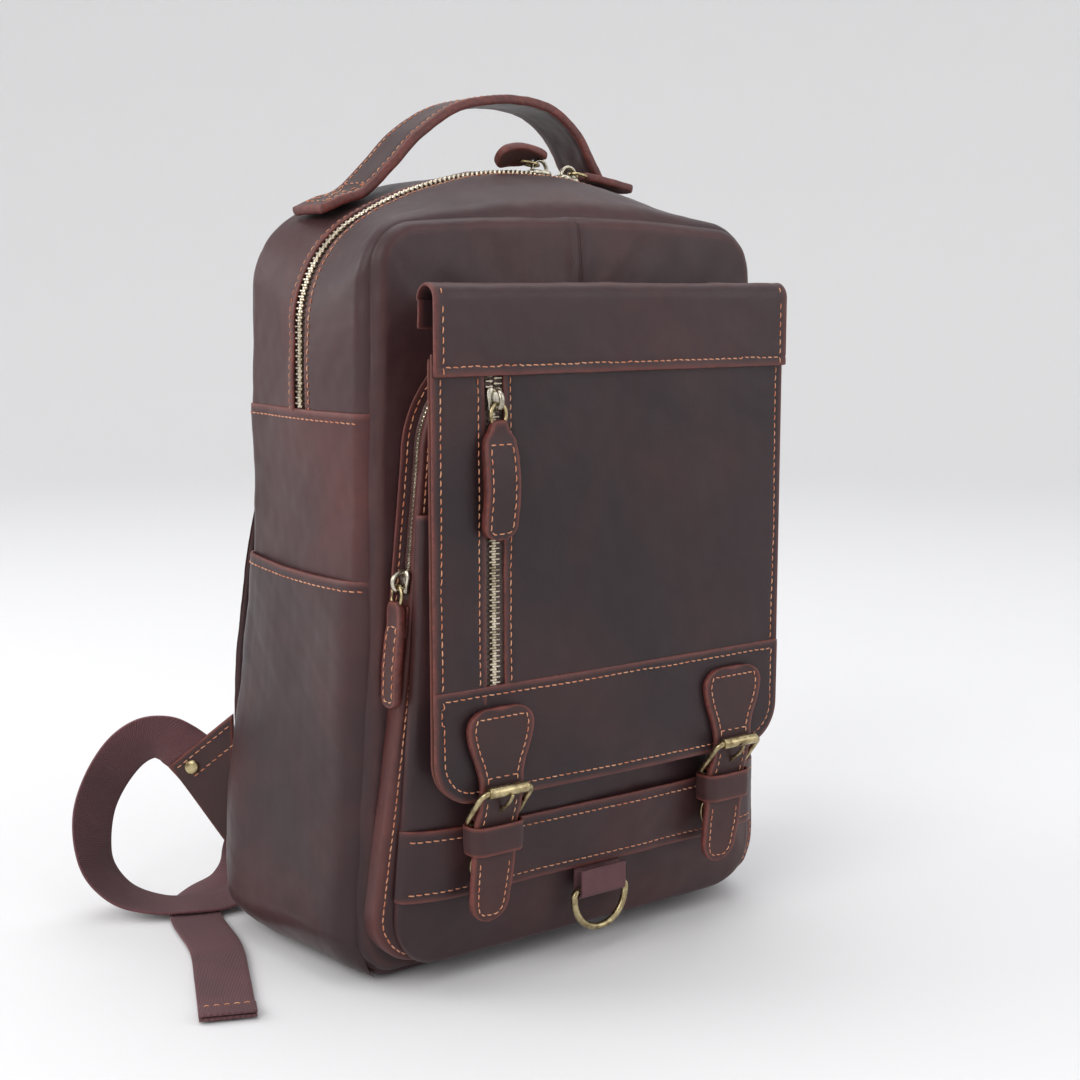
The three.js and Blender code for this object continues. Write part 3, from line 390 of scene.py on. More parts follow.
def tube(points, radius, sides=14, closed=False, normal=None):
    """Vertices and faces of a round bar along points. radius is one number or one per point."""
    p = np.asarray(points, float)
    n = len(p)
    r = np.broadcast_to(radius, (n,))
    along = unit(np.roll(p, -1, 0) - np.roll(p, 1, 0)) if closed else unit(np.gradient(p, axis=0))
    if normal is None:
        normal = [0.31, 0.17, 0.94]
    out = unit(np.cross(along, normal))
    up = unit(np.cross(out, along))
    a = np.linspace(0, 2 * math.pi, sides, endpoint=False)
    turned_out = np.cos(a)[None, :, None] * out[:, None] + np.sin(a)[None, :, None] * up[:, None]
    ring = p[:, None] + r[:, None, None] * turned_out
    if not closed:
        return ring.reshape(-1, 3), capped_faces(n, sides)
    around = grid_faces(n + 1, sides, closed=True)
    return ring.reshape(-1, 3), [tuple(k % (n * sides) for k in face) for face in around]


def joined(parts):
    """One list of vertices and faces from several."""
    verts, faces, start = [], [], 0
    for v, f in parts:
        verts.append(np.asarray(v, float))
        faces += [tuple(start + i for i in face) for face in f]
        start += len(v)
    return np.concatenate(verts), faces


def catmull_rom(a, b, c, d, t):
    """Points on the smooth curve between b and c."""
    return 0.5 * (2 * b + (c - a) * t + (2 * a - 5 * b + 4 * c - d) * t ** 2 + (3 * b - a - 3 * c + d)
                  * t ** 3)


def spline(points, count, closed=False):
    """Points at even steps along a smooth curve through the given points."""
    p = np.asarray(points, float)
    if closed:
        p = np.concatenate([p[-1:], p, p[:2]])
    else:
        p = np.concatenate([2 * p[:1] - p[1:2], p, 2 * p[-1:] - p[-2:-1]])
    t = np.linspace(0, 1, 24, endpoint=False)[:, None]
    fine = [catmull_rom(*four, t) for four in zip(p, p[1:], p[2:], p[3:])]
    fine = np.concatenate(fine + [p[-2:-1]])
    return resample(fine, count=count)


def resample(points, count=None, step=None):
    """Points at even steps along a line of straight stretches: so many, or about so far apart."""
    p = np.asarray(points, float)
    run = run_of(p)
    if count is None:
        count = max(2, int(round(run[-1] / step)) + 1)
    return at_run(np.linspace(0, run[-1], count), run, p)


# ---------------------------------------------------------------- materials
def node(tree, kind, inputs=None, **settings):
    n = tree.nodes.new(kind)
    for key, value in settings.items():
        setattr(n, key, value)
    for key, value in (inputs or {}).items():
        if isinstance(value, bpy.types.NodeSocket):
            tree.links.new(value, n.inputs[key])
        else:
            n.inputs[key].default_value = value
    return n


def new_material(name):
    m = bpy.data.materials.new(name)
    m.use_nodes = True
    tree = m.node_tree
    tree.nodes.clear()
    shader = node(tree, "ShaderNodeBsdfPrincipled")
    tree.links.new(shader.outputs["BSDF"], node(tree, "ShaderNodeOutputMaterial").inputs["Surface"])
    place = node(tree, "ShaderNodeTexCoord").outputs["Object"]
    return m, tree, shader, place


def noise(tree, place, scale, detail=3.0, rough=0.55, distortion=0.0):
    return node(tree, "ShaderNodeTexNoise", {"Vector": place, "Scale": scale, "Detail": detail,
                                             "Roughness": rough, "Distortion": distortion}).outputs["Fac"]


def remap(tree, value, a, b, c, d):
    return node(tree, "ShaderNodeMapRange", {"Value": value, "From Min": a, "From Max": b, "To Min": c,
                                             "To Max": d}).outputs["Result"]


def math_node(tree, operation, a, b):
    return node(tree, "ShaderNodeMath", {0: a, 1: b}, operation=operation, use_clamp=False).outputs[0]


def mixed(tree, share, a, b):
    n = node(tree, "ShaderNodeMix", data_type="RGBA")
    for socket, value in ((n.inputs[0], share), (n.inputs[6], a), (n.inputs[7], b)):
        if isinstance(value, bpy.types.NodeSocket):
            tree.links.new(value, socket)
        else:
            socket.default_value = value
    return n.outputs[2]


def scaled_sum(tree, a, a_share, b, b_share):
    """The sum of two values, each times its share."""
    return math_node(tree, "ADD", math_node(tree, "MULTIPLY", a, a_share), math_node(tree, "MULTIPLY", b,
            b_share))


def bumped(tree, shader, height, strength, distance):
    bump = node(tree, "ShaderNodeBump", {"Height": height, "Strength": strength, "Distance": distance})
    tree.links.new(bump.outputs["Normal"], shader.inputs["Normal"])


def colour(r, g, b):
    """A material colour from the sRGB values 0 to 255."""
    return tuple(((c / 255 + 0.055) / 1.055) ** 2.4 for c in (r, g, b)) + (1.0,)


def set_plain(shader, **values):
    """Sets a shader's own sockets, with underscores for the spaces in their names."""
    for key, value in values.items():
        shader.inputs[key.replace("_", " ")].default_value = value


def leather(name, dark, mid, warm, worn, rough=(0.36, 0.5), warmth=0.45):
    """Waxed pull-up leather: softly clouded colour, a fine grain, and lighter, redder skin where it is rubbed."""
    m, tree, shader, place = new_material(name)
    dark, mid, warm, worn = (colour(*c) for c in (dark, mid, warm, worn))
    clouds = remap(tree, noise(tree, place, 5.0, 3.0, 0.5, 0.3), 0.34, 0.66, 0, 1)
    patches = remap(tree, noise(tree, place, 13.0, 3.0, 0.55, 0.4), 0.46, 0.74, 0, warmth)
    mottle = remap(tree, noise(tree, place, 120.0, 3.0, 0.6), 0.35, 0.75, 0.0, 0.3)
    base = mixed(tree, clouds, dark, mid)
    base = mixed(tree, patches, base, warm)
    base = mixed(tree, mottle, base, dark)
    edge = node(tree, "ShaderNodeAttribute", attribute_name="edge").outputs["Fac"]
    ragged = math_node(tree, "MULTIPLY", edge, remap(tree, noise(tree, place, 90.0, 3.0), 0.3, 0.6, 0.6,
                                                     1.1))
    rubbed = remap(tree, ragged, 0.05, 1.0, 0.0, 0.8)
    tree.links.new(mixed(tree, rubbed, base, worn), shader.inputs["Base Color"])
    pores = node(tree, "ShaderNodeTexVoronoi", {"Vector": place, "Scale": 1150.0,
                                                "Randomness": 1.0}).outputs["Distance"]
    grain = math_node(tree, "ADD", math_node(tree, "MULTIPLY", pores, 0.5), noise(tree, place, 620.0, 4.0,
            0.65))
    creases = remap(tree, noise(tree, place, 48.0, 4.0, 0.55, 0.8), 0.35, 0.65, 0, 1)
    height = scaled_sum(tree, grain, 0.4, creases, 0.45)
    bumped(tree, shader, height, 0.2, 0.0006)
    tree.links.new(remap(tree, noise(tree, place, 22.0, 4.0), 0.3, 0.7, *rough), shader.inputs["Roughness"])
    set_plain(shader, Specular_IOR_Level=0.31, Sheen_Weight=0.03, Sheen_Roughness=0.45)
    return m


def edge_paint():
    """Cut leather edges, stained and burnished, with the fibres' fine streaks still showing."""
    m, tree, shader, place = new_material("edge_paint")
    streaks = noise(tree, place, 420.0, 4.0, 0.7)
    cloud = noise(tree, place, 60.0, 3.0)
    base = mixed(tree, remap(tree, streaks, 0.35, 0.65, 0, 1), colour(78, 35, 31), colour(114, 54, 46))
    base = mixed(tree, remap(tree, cloud, 0.45, 0.7, 0, 0.6), base, colour(58, 30, 29))
    tree.links.new(base, shader.inputs["Base Color"])
    bumped(tree, shader, streaks, 0.35, 0.0004)
    set_plain(shader, Roughness=0.52)
    return m


def thread():
    """Waxed stitching thread: twisted plies in light and dark tan."""
    m, tree, shader, place = new_material("thread")
    tone = noise(tree, place, 160.0, 2.0)
    base = mixed(tree, remap(tree, tone, 0.35, 0.65, 0, 1), colour(186, 110, 76), colour(210, 156, 122))
    tree.links.new(base, shader.inputs["Base Color"])
    plies = node(tree, "ShaderNodeTexWave", {"Vector": place, "Scale": 700.0, "Distortion": 2.0},
                 bands_direction="DIAGONAL").outputs["Fac"]
    bumped(tree, shader, plies, 0.3, 0.0002)
    set_plain(shader, Roughness=0.6)
    return m


def woven(name, dark, light, pitch_across=1.5, pitch_along=1.1, strength=0.7):
    """Close webbing or lining cloth. The weave follows the strip's own across and along coordinates."""
    m, tree, shader, place = new_material(name)
    dark, light = colour(*dark), colour(*light)
    weave = node(tree, "ShaderNodeAttribute", attribute_name="weave").outputs["Vector"]
    parts = node(tree, "ShaderNodeSeparateXYZ", {"Vector": weave})
    across = math_node(tree, "MULTIPLY", parts.outputs["X"], 2 * math.pi / pitch_across)
    along = math_node(tree, "MULTIPLY", parts.outputs["Y"], 2 * math.pi / pitch_along)
    ribs = math_node(tree, "ABSOLUTE", math_node(tree, "SINE", across, 0), 0)
    yarns = math_node(tree, "SINE", math_node(tree, "ADD", along, math_node(tree, "MULTIPLY", across, 0.5)),
                      0)
    height = scaled_sum(tree, ribs, 0.7, yarns, 0.3)
    fuzz = noise(tree, place, 900.0, 3.0)
    height = math_node(tree, "ADD", height, math_node(tree, "MULTIPLY", fuzz, 0.3))
    # The colour follows the weave's height: painted shade in the grooves between the yarns, and a painted highlight on
    # their tops.
    tone = remap(tree, height, -0.2, 1.1, 0, 1)
    base = mixed(tree, tone, dark, light)
    base = mixed(tree, remap(tree, noise(tree, place, 24.0, 3.0), 0.4, 0.7, 0, 0.4), base, dark)
    tree.links.new(base, shader.inputs["Base Color"])
    bumped(tree, shader, height, strength, 0.0005)
    set_plain(shader, Roughness=0.85, Sheen_Weight=0.08, Sheen_Roughness=0.5)
    return m


def metal(name, bright, dull, rough):
    """Plated zinc with a patina that has rubbed through in places, and fine scratches."""
    m, tree, shader, place = new_material(name)
    bright, dull = colour(*bright), colour(*dull)
    patina = remap(tree, noise(tree, place, 160.0, 4.0, 0.6, 0.4), 0.38, 0.7, 0, 1)
    tree.links.new(mixed(tree, patina, bright, dull), shader.inputs["Base Color"])
    set_plain(shader, Metallic=1.0)
    tree.links.new(remap(tree, noise(tree, place, 480.0, 4.0), 0.3, 0.7, *rough),
                   shader.inputs["Roughness"])
    bumped(tree, shader, noise(tree, place, 900.0, 3.0, 0.6), 0.035, 0.0003)
    return m


MATERIAL = {"edge_paint": edge_paint(), "thread": thread()}
for key, args in {"leather": ("leather", (44, 29, 32), (61, 40, 42), (84, 46, 44), (102, 56, 50)),
                  "flap_leather": ("flap_leather", (36, 24, 27), (50, 33, 36), (70, 39, 38), (98, 54, 48)),
                  "warm_leather": ("warm_leather", (50, 29, 31), (70, 39, 40), (96, 50, 46), (108, 58, 51)),
                  "strap_leather": ("strap_leather", (48, 31, 32), (66, 40, 40), (84, 46, 42),
                                    (118, 62, 52), (0.4, 0.55), 0.6), "flesh": ("flesh_side", (66, 44, 38),
        (88, 58, 48), (96, 60, 48), (110, 64, 52), (0.75, 0.9))}.items():
    MATERIAL[key] = leather(*args)
# Each cloth's darker colour is painted shade in its weave's grooves, and its lighter colour a painted highlight on the
# raised yarns.
MATERIAL["webbing"] = woven("webbing", (58, 31, 35), (120, 74, 78), strength=0.9)
MATERIAL["zip_tape"] = woven("zip_tape", (52, 42, 41), (128, 108, 102), 1.2, 0.9, 0.5)
MATERIAL["lining"] = woven("lining", (38, 34, 34), (66, 58, 54), 1.0, 1.0, 0.5)
MATERIAL["antique_brass"] = metal("antique_brass", (192, 177, 136), (116, 100, 72), (0.2, 0.36))
MATERIAL["nickel"] = metal("nickel", (206, 200, 184), (130, 122, 106), (0.18, 0.34))
MATERIAL["teeth"] = metal("zip_teeth", (216, 206, 188), (150, 138, 116), (0.2, 0.38))

# ---------------------------------------------------------------- stitches
STITCHES = {}


THREAD_R, THREAD_LIFT, ENDS = 0.37, 0.1, 0.5
RISE = np.array([-0.45, 0.15, 0.5, 0.5, 0.15, -0.45])
WIDTH = np.array([0.55, 0.9, 1.0, 1.0, 0.9, 0.55])


def stitch(path, on, body="root", pitch=4.2, length=3.1, normal=None, seed=0):
    """Stitches along a path that is laid on a piece: each is a short thread that dips in at both ends."""
    p = resample(path, step=0.5)
    run = np.linalg.norm(np.diff(p, axis=0), axis=1).sum()
    count = max(1, int((run - ENDS * pitch) / pitch))
    rng = np.random.default_rng(seed + count)
    parts = STITCHES.setdefault(body, [])
    arc = run_of(p)
    tree = TREES[on]
    turn = np.linspace(0, 2 * math.pi, 7)[:-1]
    for i in range(count):
        middle = (i + 0.5) * run / count
        along_at = middle + np.linspace(-0.5, 0.5, 6) * length * rng.uniform(0.92, 1.06)
        spine = at_run(along_at, arc, p)
        found = [tree.find_nearest(Vector(q * MM)) for q in spine]
        spine = np.array([np.array(f[0]) / MM for f in found])
        n = unit(np.sum([np.array(f[1]) for f in found], 0))
        if normal is not None and np.dot(n, normal) <= 0:
            n = n * -1
        along = unit(spine[-1] - spine[0])
        side = unit(np.cross(along, n))
        skew = rng.normal(0, 0.05) + 0.07
        spine = spine + side * (np.linspace(-0.5, 0.5, 6) * length * skew)[:, None]
        spine = spine + n * (RISE * THREAD_R + THREAD_LIFT)[:, None]
        ring = spine[:, None] + (THREAD_R * WIDTH)[:, None, None] * (
            np.cos(turn)[None, :, None] * side + 0.8 * np.sin(turn)[None, :, None] * n)
        parts.append((ring.reshape(-1, 3), capped_faces(6, 6)))


def finish_stitches():
    for body, parts in STITCHES.items():
        verts, faces = joined(parts)
        piece = make(f"stitching_{body}", verts, faces, MATERIAL["thread"], None if body == "roll"
                     else body)
        if body == "roll":
            bend_with_flap(piece)


# ---------------------------------------------------------------- outlines and the rings inside them
RIM_STEPS = [0, 0.5, 1.1, 1.8, 2.6, 3.3, 3.9, 4.5, 5.2, 6.4, 8.0]


def rounded_outline(o, open_top=False, step=2.4):
    """x, z round a plate with rounded corners, clockwise from the front. An open one leaves out its top edge."""
    low, high = o["bottom"] + o["bottom_r"], o["top"] - o["top_r"]
    top = [] if open_top else [(0, o["top"])]
    a = np.linspace(math.pi / 2, 0, 14)
    cx = o["top_half"] - o["top_r"]
    right = top + ([(o["top_half"], o["top"])] if open_top else
                   [(cx + o["top_r"] * math.cos(t), high + o["top_r"] * math.sin(t)) for t in a])
    a = np.linspace(0, -math.pi / 2, 14)
    cx = o["bottom_half"] - o["bottom_r"]
    right += [(cx + o["bottom_r"] * math.cos(t), low + o["bottom_r"] * math.sin(t)) for t in a] + [(0,
            o["bottom"])]
    half = resample(right, step=step)
    left = half[-2::-1] if open_top else half[-2:0:-1]
    return np.concatenate([half, left * [-1, 1]])


def body_outline(o, step=2.4):
    """x, z round the body's front or back, clockwise from the front, starting at the middle of the crown."""
    parts = [("crown", f) for f in np.linspace(1, 0, 40)] + [("corner", f) for f in np.linspace(0.95, 0,
            20)]
    parts += [("foot", f) for f in np.linspace(1, 0, 20)] + [("bottom", f) for f in (0.5, 0)]
    half = resample([outline_point(o, *p)[:2] for p in parts], step=step)
    return np.concatenate([half, half[-2:0:-1] * [-1, 1]])


def ring_places(loop, spine, closed=True, step=3.2, steps=RIM_STEPS):
    """x, z of rings from an outline to a middle line, with fine steps at the rim, and each ring's inset."""
    inward = inward_of(loop, closed)
    near = [loop + inward * e for e in steps]
    middle = np.stack([0 * loop[:, 0], np.clip(loop[:, 1], *spine)], 1)
    reach = np.linalg.norm(middle - near[-1], axis=1).max()
    count = int(reach / step)
    far = [lerp(near[-1], middle, k / count) for k in range(1, count + 1)]
    inset = list(steps) + [steps[-1] + reach * k / count for k in range(1, count + 1)]
    return np.array(near + far), np.array(inset)


def stitch_dent(inset, at=4.0, depth=0.35, width=1.0):
    return depth * bump_at(inset - at, width)


def plate_grid(loop, spine, face_y, rim_r, closed=True, walls=None, dent=None, out=-1):
    """Points of a cushioned plate. walls is the depth of side wall behind its rim; rows go from the back inward."""
    places, inset = ring_places(loop, spine, closed)
    x, z = places[..., 0], places[..., 1]
    drop = rounded(inset, rim_r)[:, None]
    if dent:
        drop = drop + stitch_dent(inset, dent)[:, None]
    y = face_y(x, z) - out * drop
    grid = np.stack([x, y, z], -1)
    if walls:
        x, z = loop.T
        deep = np.linspace(walls, rim_r + 0.7, max(4, int((walls - rim_r) / 0.8)))[:, None]
        wall = np.stack([x + 0 * deep, face_y(x, z) - out * deep, z + 0 * deep], -1)
        grid = np.concatenate([wall, grid])
    return grid


# ---------------------------------------------------------------- body
FRONT_SHOULDER, BACK_SHOULDER, BODY_DEPTH = 8.0, 10.0, 120


def shoulders(t):
    """How far the wall's leather turns in at its front and back seams."""
    return rounded(t * BODY_DEPTH, FRONT_SHOULDER) + rounded((1 - t) * BODY_DEPTH, BACK_SHOULDER)


def pocket_room(station, t):
    part, z = station
    if part != "side":
        return 0
    fade = smooth((z - 28) / 12) * (1 - smooth((z - SIDE_POCKET_MOUTH_Z + 42) / 40))
    return (SIDE_POCKET_ROOM + 1.2) * np.sin(math.pi * t) ** 0.6 * fade


def seam_spaced(a, b, count):
    """Shares from a to b, closer together near the seams at 0 and 1."""
    u = np.linspace(0, 1, 400)
    share = a + (b - a) * u
    density = 1 + 3.5 * np.exp(-share * 16) + 3.5 * np.exp(-(1 - share) * 13)
    total = np.cumsum(density)
    return a + (b - a) * np.interp(np.linspace(0, 1, count), (total - total[0]) / (total[-1] - total[0]), u)


def edge_spaced(a, b, count, near=(True, True)):
    """Shares from a to b, closer together near the chosen ends."""
    u = np.linspace(0, 1, count)
    if all(near):
        u = 0.55 * u + 0.45 * smooth(u)
    elif near[0]:
        u = u ** 1.35
    elif near[1]:
        u = 1 - (1 - u) ** 1.35
    return a + (b - a) * u


def build_body():
    leather = MATERIAL["leather"]
    wide = BACK_Y - FRONT_Y

    # The lower wall: one band under the bag and up both sides, with a cut edge at its two tops.
    def low_out(station, t):
        lift = 0.7 * smooth((station[1] - 250) / 30) if station[0] == "side" else 0
        return lift - shoulders(t) - pocket_room(station, t)

    low = body_grid(both_sides(LOW[::-1]), seam_spaced(0, 1, 76), low_out)
    low = lived_in(low, 11, low=0.7, keep=smooth(low[..., 2] / 12))
    low[..., 2] = np.maximum(low[..., 2], 0.15)
    piece = sheet("lower_wall", low, LEATHER, MATERIAL["warm_leather"], "root", sides=("first", "last"),
                  edge_wear=3.0)
    declare(piece, "lower_gusset")

    # The upper walls on each side of the main zip. Their lower ends lie under the lower wall's cut edge.
    under = [("side", z) for z in (278, 283, 288, 292)]
    high = both_sides(under + HIGH)
    front_t = seam_spaced(0, ZIP_SHARE - 6.0 / wide, 38)
    rear_t = seam_spaced(ZIP_SHARE + 5.2 / wide, 1, 42)

    def tuck(station):
        return 2.9 * (1 - smooth((station[1] - 290) / 8)) if station[0] == "side" else 0

    def front_out(station, t):
        return -tuck(station) - rounded(t * wide, FRONT_SHOULDER) - 0.3 * bump_at((front_t[-1] - t) * wide
                - 3, 1.1)

    def rear_out(station, t):
        from_zip = (t - rear_t[0]) * wide
        lip = 1.5 * (1 - smooth(from_zip / 8))
        return -tuck(station) - rounded((1 - t) * wide, BACK_SHOULDER) + lip - 0.35 * bump_at(from_zip - 4,
                1.1)

    for name, t, out, side, skin, rim in (
            ("front", front_t, front_out, "right", leather, leather),
            ("rear", rear_t, rear_out, "left", MATERIAL["warm_leather"], None)):
        grid = lived_in(body_grid(high, t, out)[::-1], 11, low=0.6)
        piece = sheet(f"{name}_upper_wall", grid, 2.0, skin, "root", sides=(side,), edge_wear=2.5,
                      bulge=0.8, rim=rim)
        declare(piece, f"{name}_gusset")

    # The front and the back.
    loop = shrunk(body_outline(FRONT_OUTLINE), 4.2)
    face = plate_grid(loop, BODY_SPINE, panel_face_y, 6.4)
    x, z = face[..., 0], face[..., 2]
    face[..., 1] -= 0.7 * bump_at(abs(x) - 4.5, 3.5) * smooth((z - 300) / 8)
    face = lived_in(face, 21, low=0.9, closed=True, keep=smooth(ring_numbers(face) / 3))
    piece = plate("front_face", face, leather, 0.28 * bump_at(ring_inset(loop, BODY_SPINE) - 4.5, 2.5))
    declare(piece, "front_panel")

    # Its centre seam: two lips of leather that meet over the top third.
    tree, lips = TREES["front_face"], []
    for x in (-0.6, 0.6):
        hits = [(z, tree.ray_cast(Vector((x, -200, z)) * MM, Vector(BACKWARD))[0]) for z in np.linspace(392,
                300, 60)]
        lips.append(tube([(x, hit.y / MM + 0.1, z) for z, hit in hits], 0.62, 10, normal=(1, 0, 0)))
    verts, faces = joined(lips)
    declare(make("front_seam", verts, faces, leather, "root", np.full(len(verts), 0.05)))

    # The back is quilted along two upright lines on each side and one across its foot and its top.
    upright_lines, level_lines = (15, 104), (42, 336)
    loop = shrunk(body_outline(BACK_OUTLINE), 5.0)
    back = plate_grid(loop, BODY_SPINE, back_face_y, 5.0, out=1)[:, ::-1]
    x, z = back[..., 0], back[..., 2]
    between = smooth((z - 44) / 10) * (1 - smooth((z - 330) / 10))
    channels = [bump_at(abs(x) - line, 3.2) * between for line in upright_lines]
    channels += [bump_at(z - line, 3.2) * (1 - smooth((abs(x) - 96) / 10)) for line in level_lines]
    back[..., 1] -= 3.2 * np.maximum.reduce(channels)
    back = lived_in(back, 31, low=0.8, closed=True, keep=smooth(ring_numbers(back) / 3))
    piece = plate("padded_back", back, leather, 0.35 * bump_at(ring_inset(loop, BODY_SPINE) - 4.5, 2.5))
    declare(piece, "back_panel")
    for side in (-1, 1):
        for x in upright_lines:
            path = [(side * x, back_face_y(x, z) - 2, z) for z in np.linspace(46, 332, 60)]
            stitch(path, "padded_back", normal=BACKWARD)
    for z in level_lines:
        stitch([(x, back_face_y(x, z) - 2, z) for x in np.linspace(-98, 98, 50)], "padded_back",
               normal=BACKWARD)

    # Lines of stitches beside the zip and under the lower wall's edge.
    for grid_t, name in ((front_t[-1] - 3.0 / wide, "front_upper_wall"), (rear_t[0] + 4.0 / wide,
            "rear_upper_wall")):
        path = body_grid(both_sides([("side", 298)] + HIGH), np.array([grid_t, grid_t]), 1.0)[:, 0]
        stitch(path, name, seed=3)
    for side in (-1, 1):
        path = body_row(("side", ZIP_END_Z - 4.5), np.linspace(0.035, 0.965, 60), 1.5, side)
        stitch(path, "lower_wall", normal=(side, 0, 0), seed=5)


def shrunk(loop, inset):
    """A clockwise outline moved inwards."""
    return loop + inset * inward_of(loop)


def ring_numbers(grid):
    return np.arange(grid.shape[0])[:, None] * np.ones(grid.shape[1])


def plate(name, grid, material, wear):
    """A closed plate from its rings. wear is how worn the leather is on each ring."""
    faces = grid_faces(*grid.shape[:2], closed=True)
    wear = np.repeat(wear[:, None], grid.shape[1], 1)
    return make(name, grid.reshape(-1, 3), faces, material, "root", wear, merge=True)


def ring_inset(loop, spine, closed=True):
    return ring_places(loop, spine, closed)[1]


def pocket_swell(z, t):
    """A side pocket's belly: fullest low down and towards the back."""
    return 8.5 * np.exp(-((z - 66) / 70) ** 2) * np.sin(math.pi * t ** 2.8)


def build_side_pockets():
    """Slip pockets: each is a layer over the wall, from its mouth down and round the foot."""
    t = seam_spaced(0, 1, 70)
    mouth = SIDE_POCKET_MOUTH_Z + 2.5 * t - 1.2 * np.sin(math.pi * t)
    for name, side in SIDES.items():
        out = 2.6 * smooth(np.minimum(t, 1 - t) * 9) + 0.45 - shoulders(t)
        rows = []
        for s in np.linspace(0, 1, 90) ** 0.95:
            z = lerp(mouth, 28, s)
            bulged = out + pocket_swell(z, t)
            rows.append(np.concatenate([body_row(("side", z[j]), t[j:j + 1], bulged[j], side)
                                        for j in range(len(t))]))
        for f in np.linspace(0.97, 0.3, 14):
            rows.append(body_row(("foot", f), t, (out + pocket_swell(28, t)) * smooth((f - 0.2) / 0.7)
                                 + 0.2, side))
        grid = np.array(rows)
        if side < 0:
            grid = grid[:, ::-1]
        grid = lived_in(grid, 41, low=1.0, fine=0.15)
        grid[..., 2] = np.maximum(grid[..., 2], 0.1)
        piece = sheet(f"side_pocket_skin_{name}", grid, 2.2, MATERIAL["leather"], "root", sides=("first",),
                      edge_wear=2.2)
        declare(piece, f"side_pocket_{name}")
        line = at_run(np.linspace(0.03, 0.97, 60), np.linspace(0, 1, grid.shape[1]), grid[0])
        stitch(line + [side * 0.8, 0, -4.5], piece.name, normal=(side, 0, 0), seed=8)


# ---------------------------------------------------------------- zips
def tooth(at, across, normal, along, scale=1.0):
    """One zip tooth: a narrow foot clamped on the tape and a wider rounded head."""
    stations = [(-1.9, 0.5, 0.75), (-0.9, 0.55, 0.85), (0.1, 0.45, 0.7), (0.9, 0.78, 0.85),
                (1.5, 0.72, 0.75), (1.9, 0.4, 0.4)]
    corners = [(-1, -0.4), (-0.45, -1), (0.45, -1), (1, -0.4), (1, 0.4), (0.45, 1), (-0.45, 1), (-1, 0.4)]
    verts = [at + scale * (d * across + u * w * along + v * h * normal) for d, w, h in stations for u,
             v in corners]
    return np.array(verts), capped_faces(len(stations), len(corners))


def zip_teeth(name, path, normals, body, pitch=2.5, scale=1.0, spread=None):
    """Two rows of teeth that mesh along a path. spread gives how far apart the rows are at each place."""
    at = resample(np.concatenate([path, normals], 1), step=pitch / 2)
    along = unit(np.gradient(at[:, :3], axis=0))
    parts = []
    for i, (row, tangent) in enumerate(zip(at, along)):
        side = -1 if i % 2 else 1
        normal = unit(row[3:])
        across = unit(np.cross(tangent, normal)) * side
        open_by = spread(row[:3]) if spread else 0
        parts.append(tooth(row[:3] - across * (0.75 * scale + open_by), across, normal, tangent, scale))
    verts, faces = joined(parts)
    declare(make(name, verts, faces, MATERIAL["teeth"], body, shade=False))


def zip_tape(name, path, normals, half, body, columns=9):
    """A thin woven tape along a path, with coordinates for its weave. Its CAD node has its name without _tape."""
    normals = unit(normals)
    along = unit(np.gradient(path, axis=0))
    across = unit(np.cross(along, normals))
    u = np.linspace(-1, 1, columns)
    grid = path[:, None] + across[:, None] * (u * half)[None, :, None]
    piece = make(name, grid.reshape(-1, 3), grid_faces(*grid.shape[:2]), MATERIAL["zip_tape"], body)
    weave = np.broadcast_arrays(u * half, run_of(path)[:, None], np.zeros(grid.shape[:2]))
    add_weave(piece, np.stack(weave, -1))
    declare(piece, name.removesuffix("_tape"))


def add_weave(piece, weave):
    attribute = piece.data.attributes.new("weave", "FLOAT_VECTOR", "POINT")
    attribute.data.foreach_set("vector", np.asarray(weave, np.float32).ravel())


def build_main_zip():
    stations = both_sides([("side", 290), ("side", 293)] + HIGH)
    t = np.array([ZIP_SHARE, ZIP_SHARE])
    middle = body_grid(stations, t, 0)[:, 0]
    normals = body_grid(stations, t, 1)[:, 0] - middle
    zip_tape("main_zip_tape", middle - normals * 1.1, normals, ZIP_HALF + 1.5, "root")
    zip_teeth("main_zip_teeth", (middle + normals * 0.1)[3:-3], normals[3:-3], "root", pitch=3.0, scale=1.3)


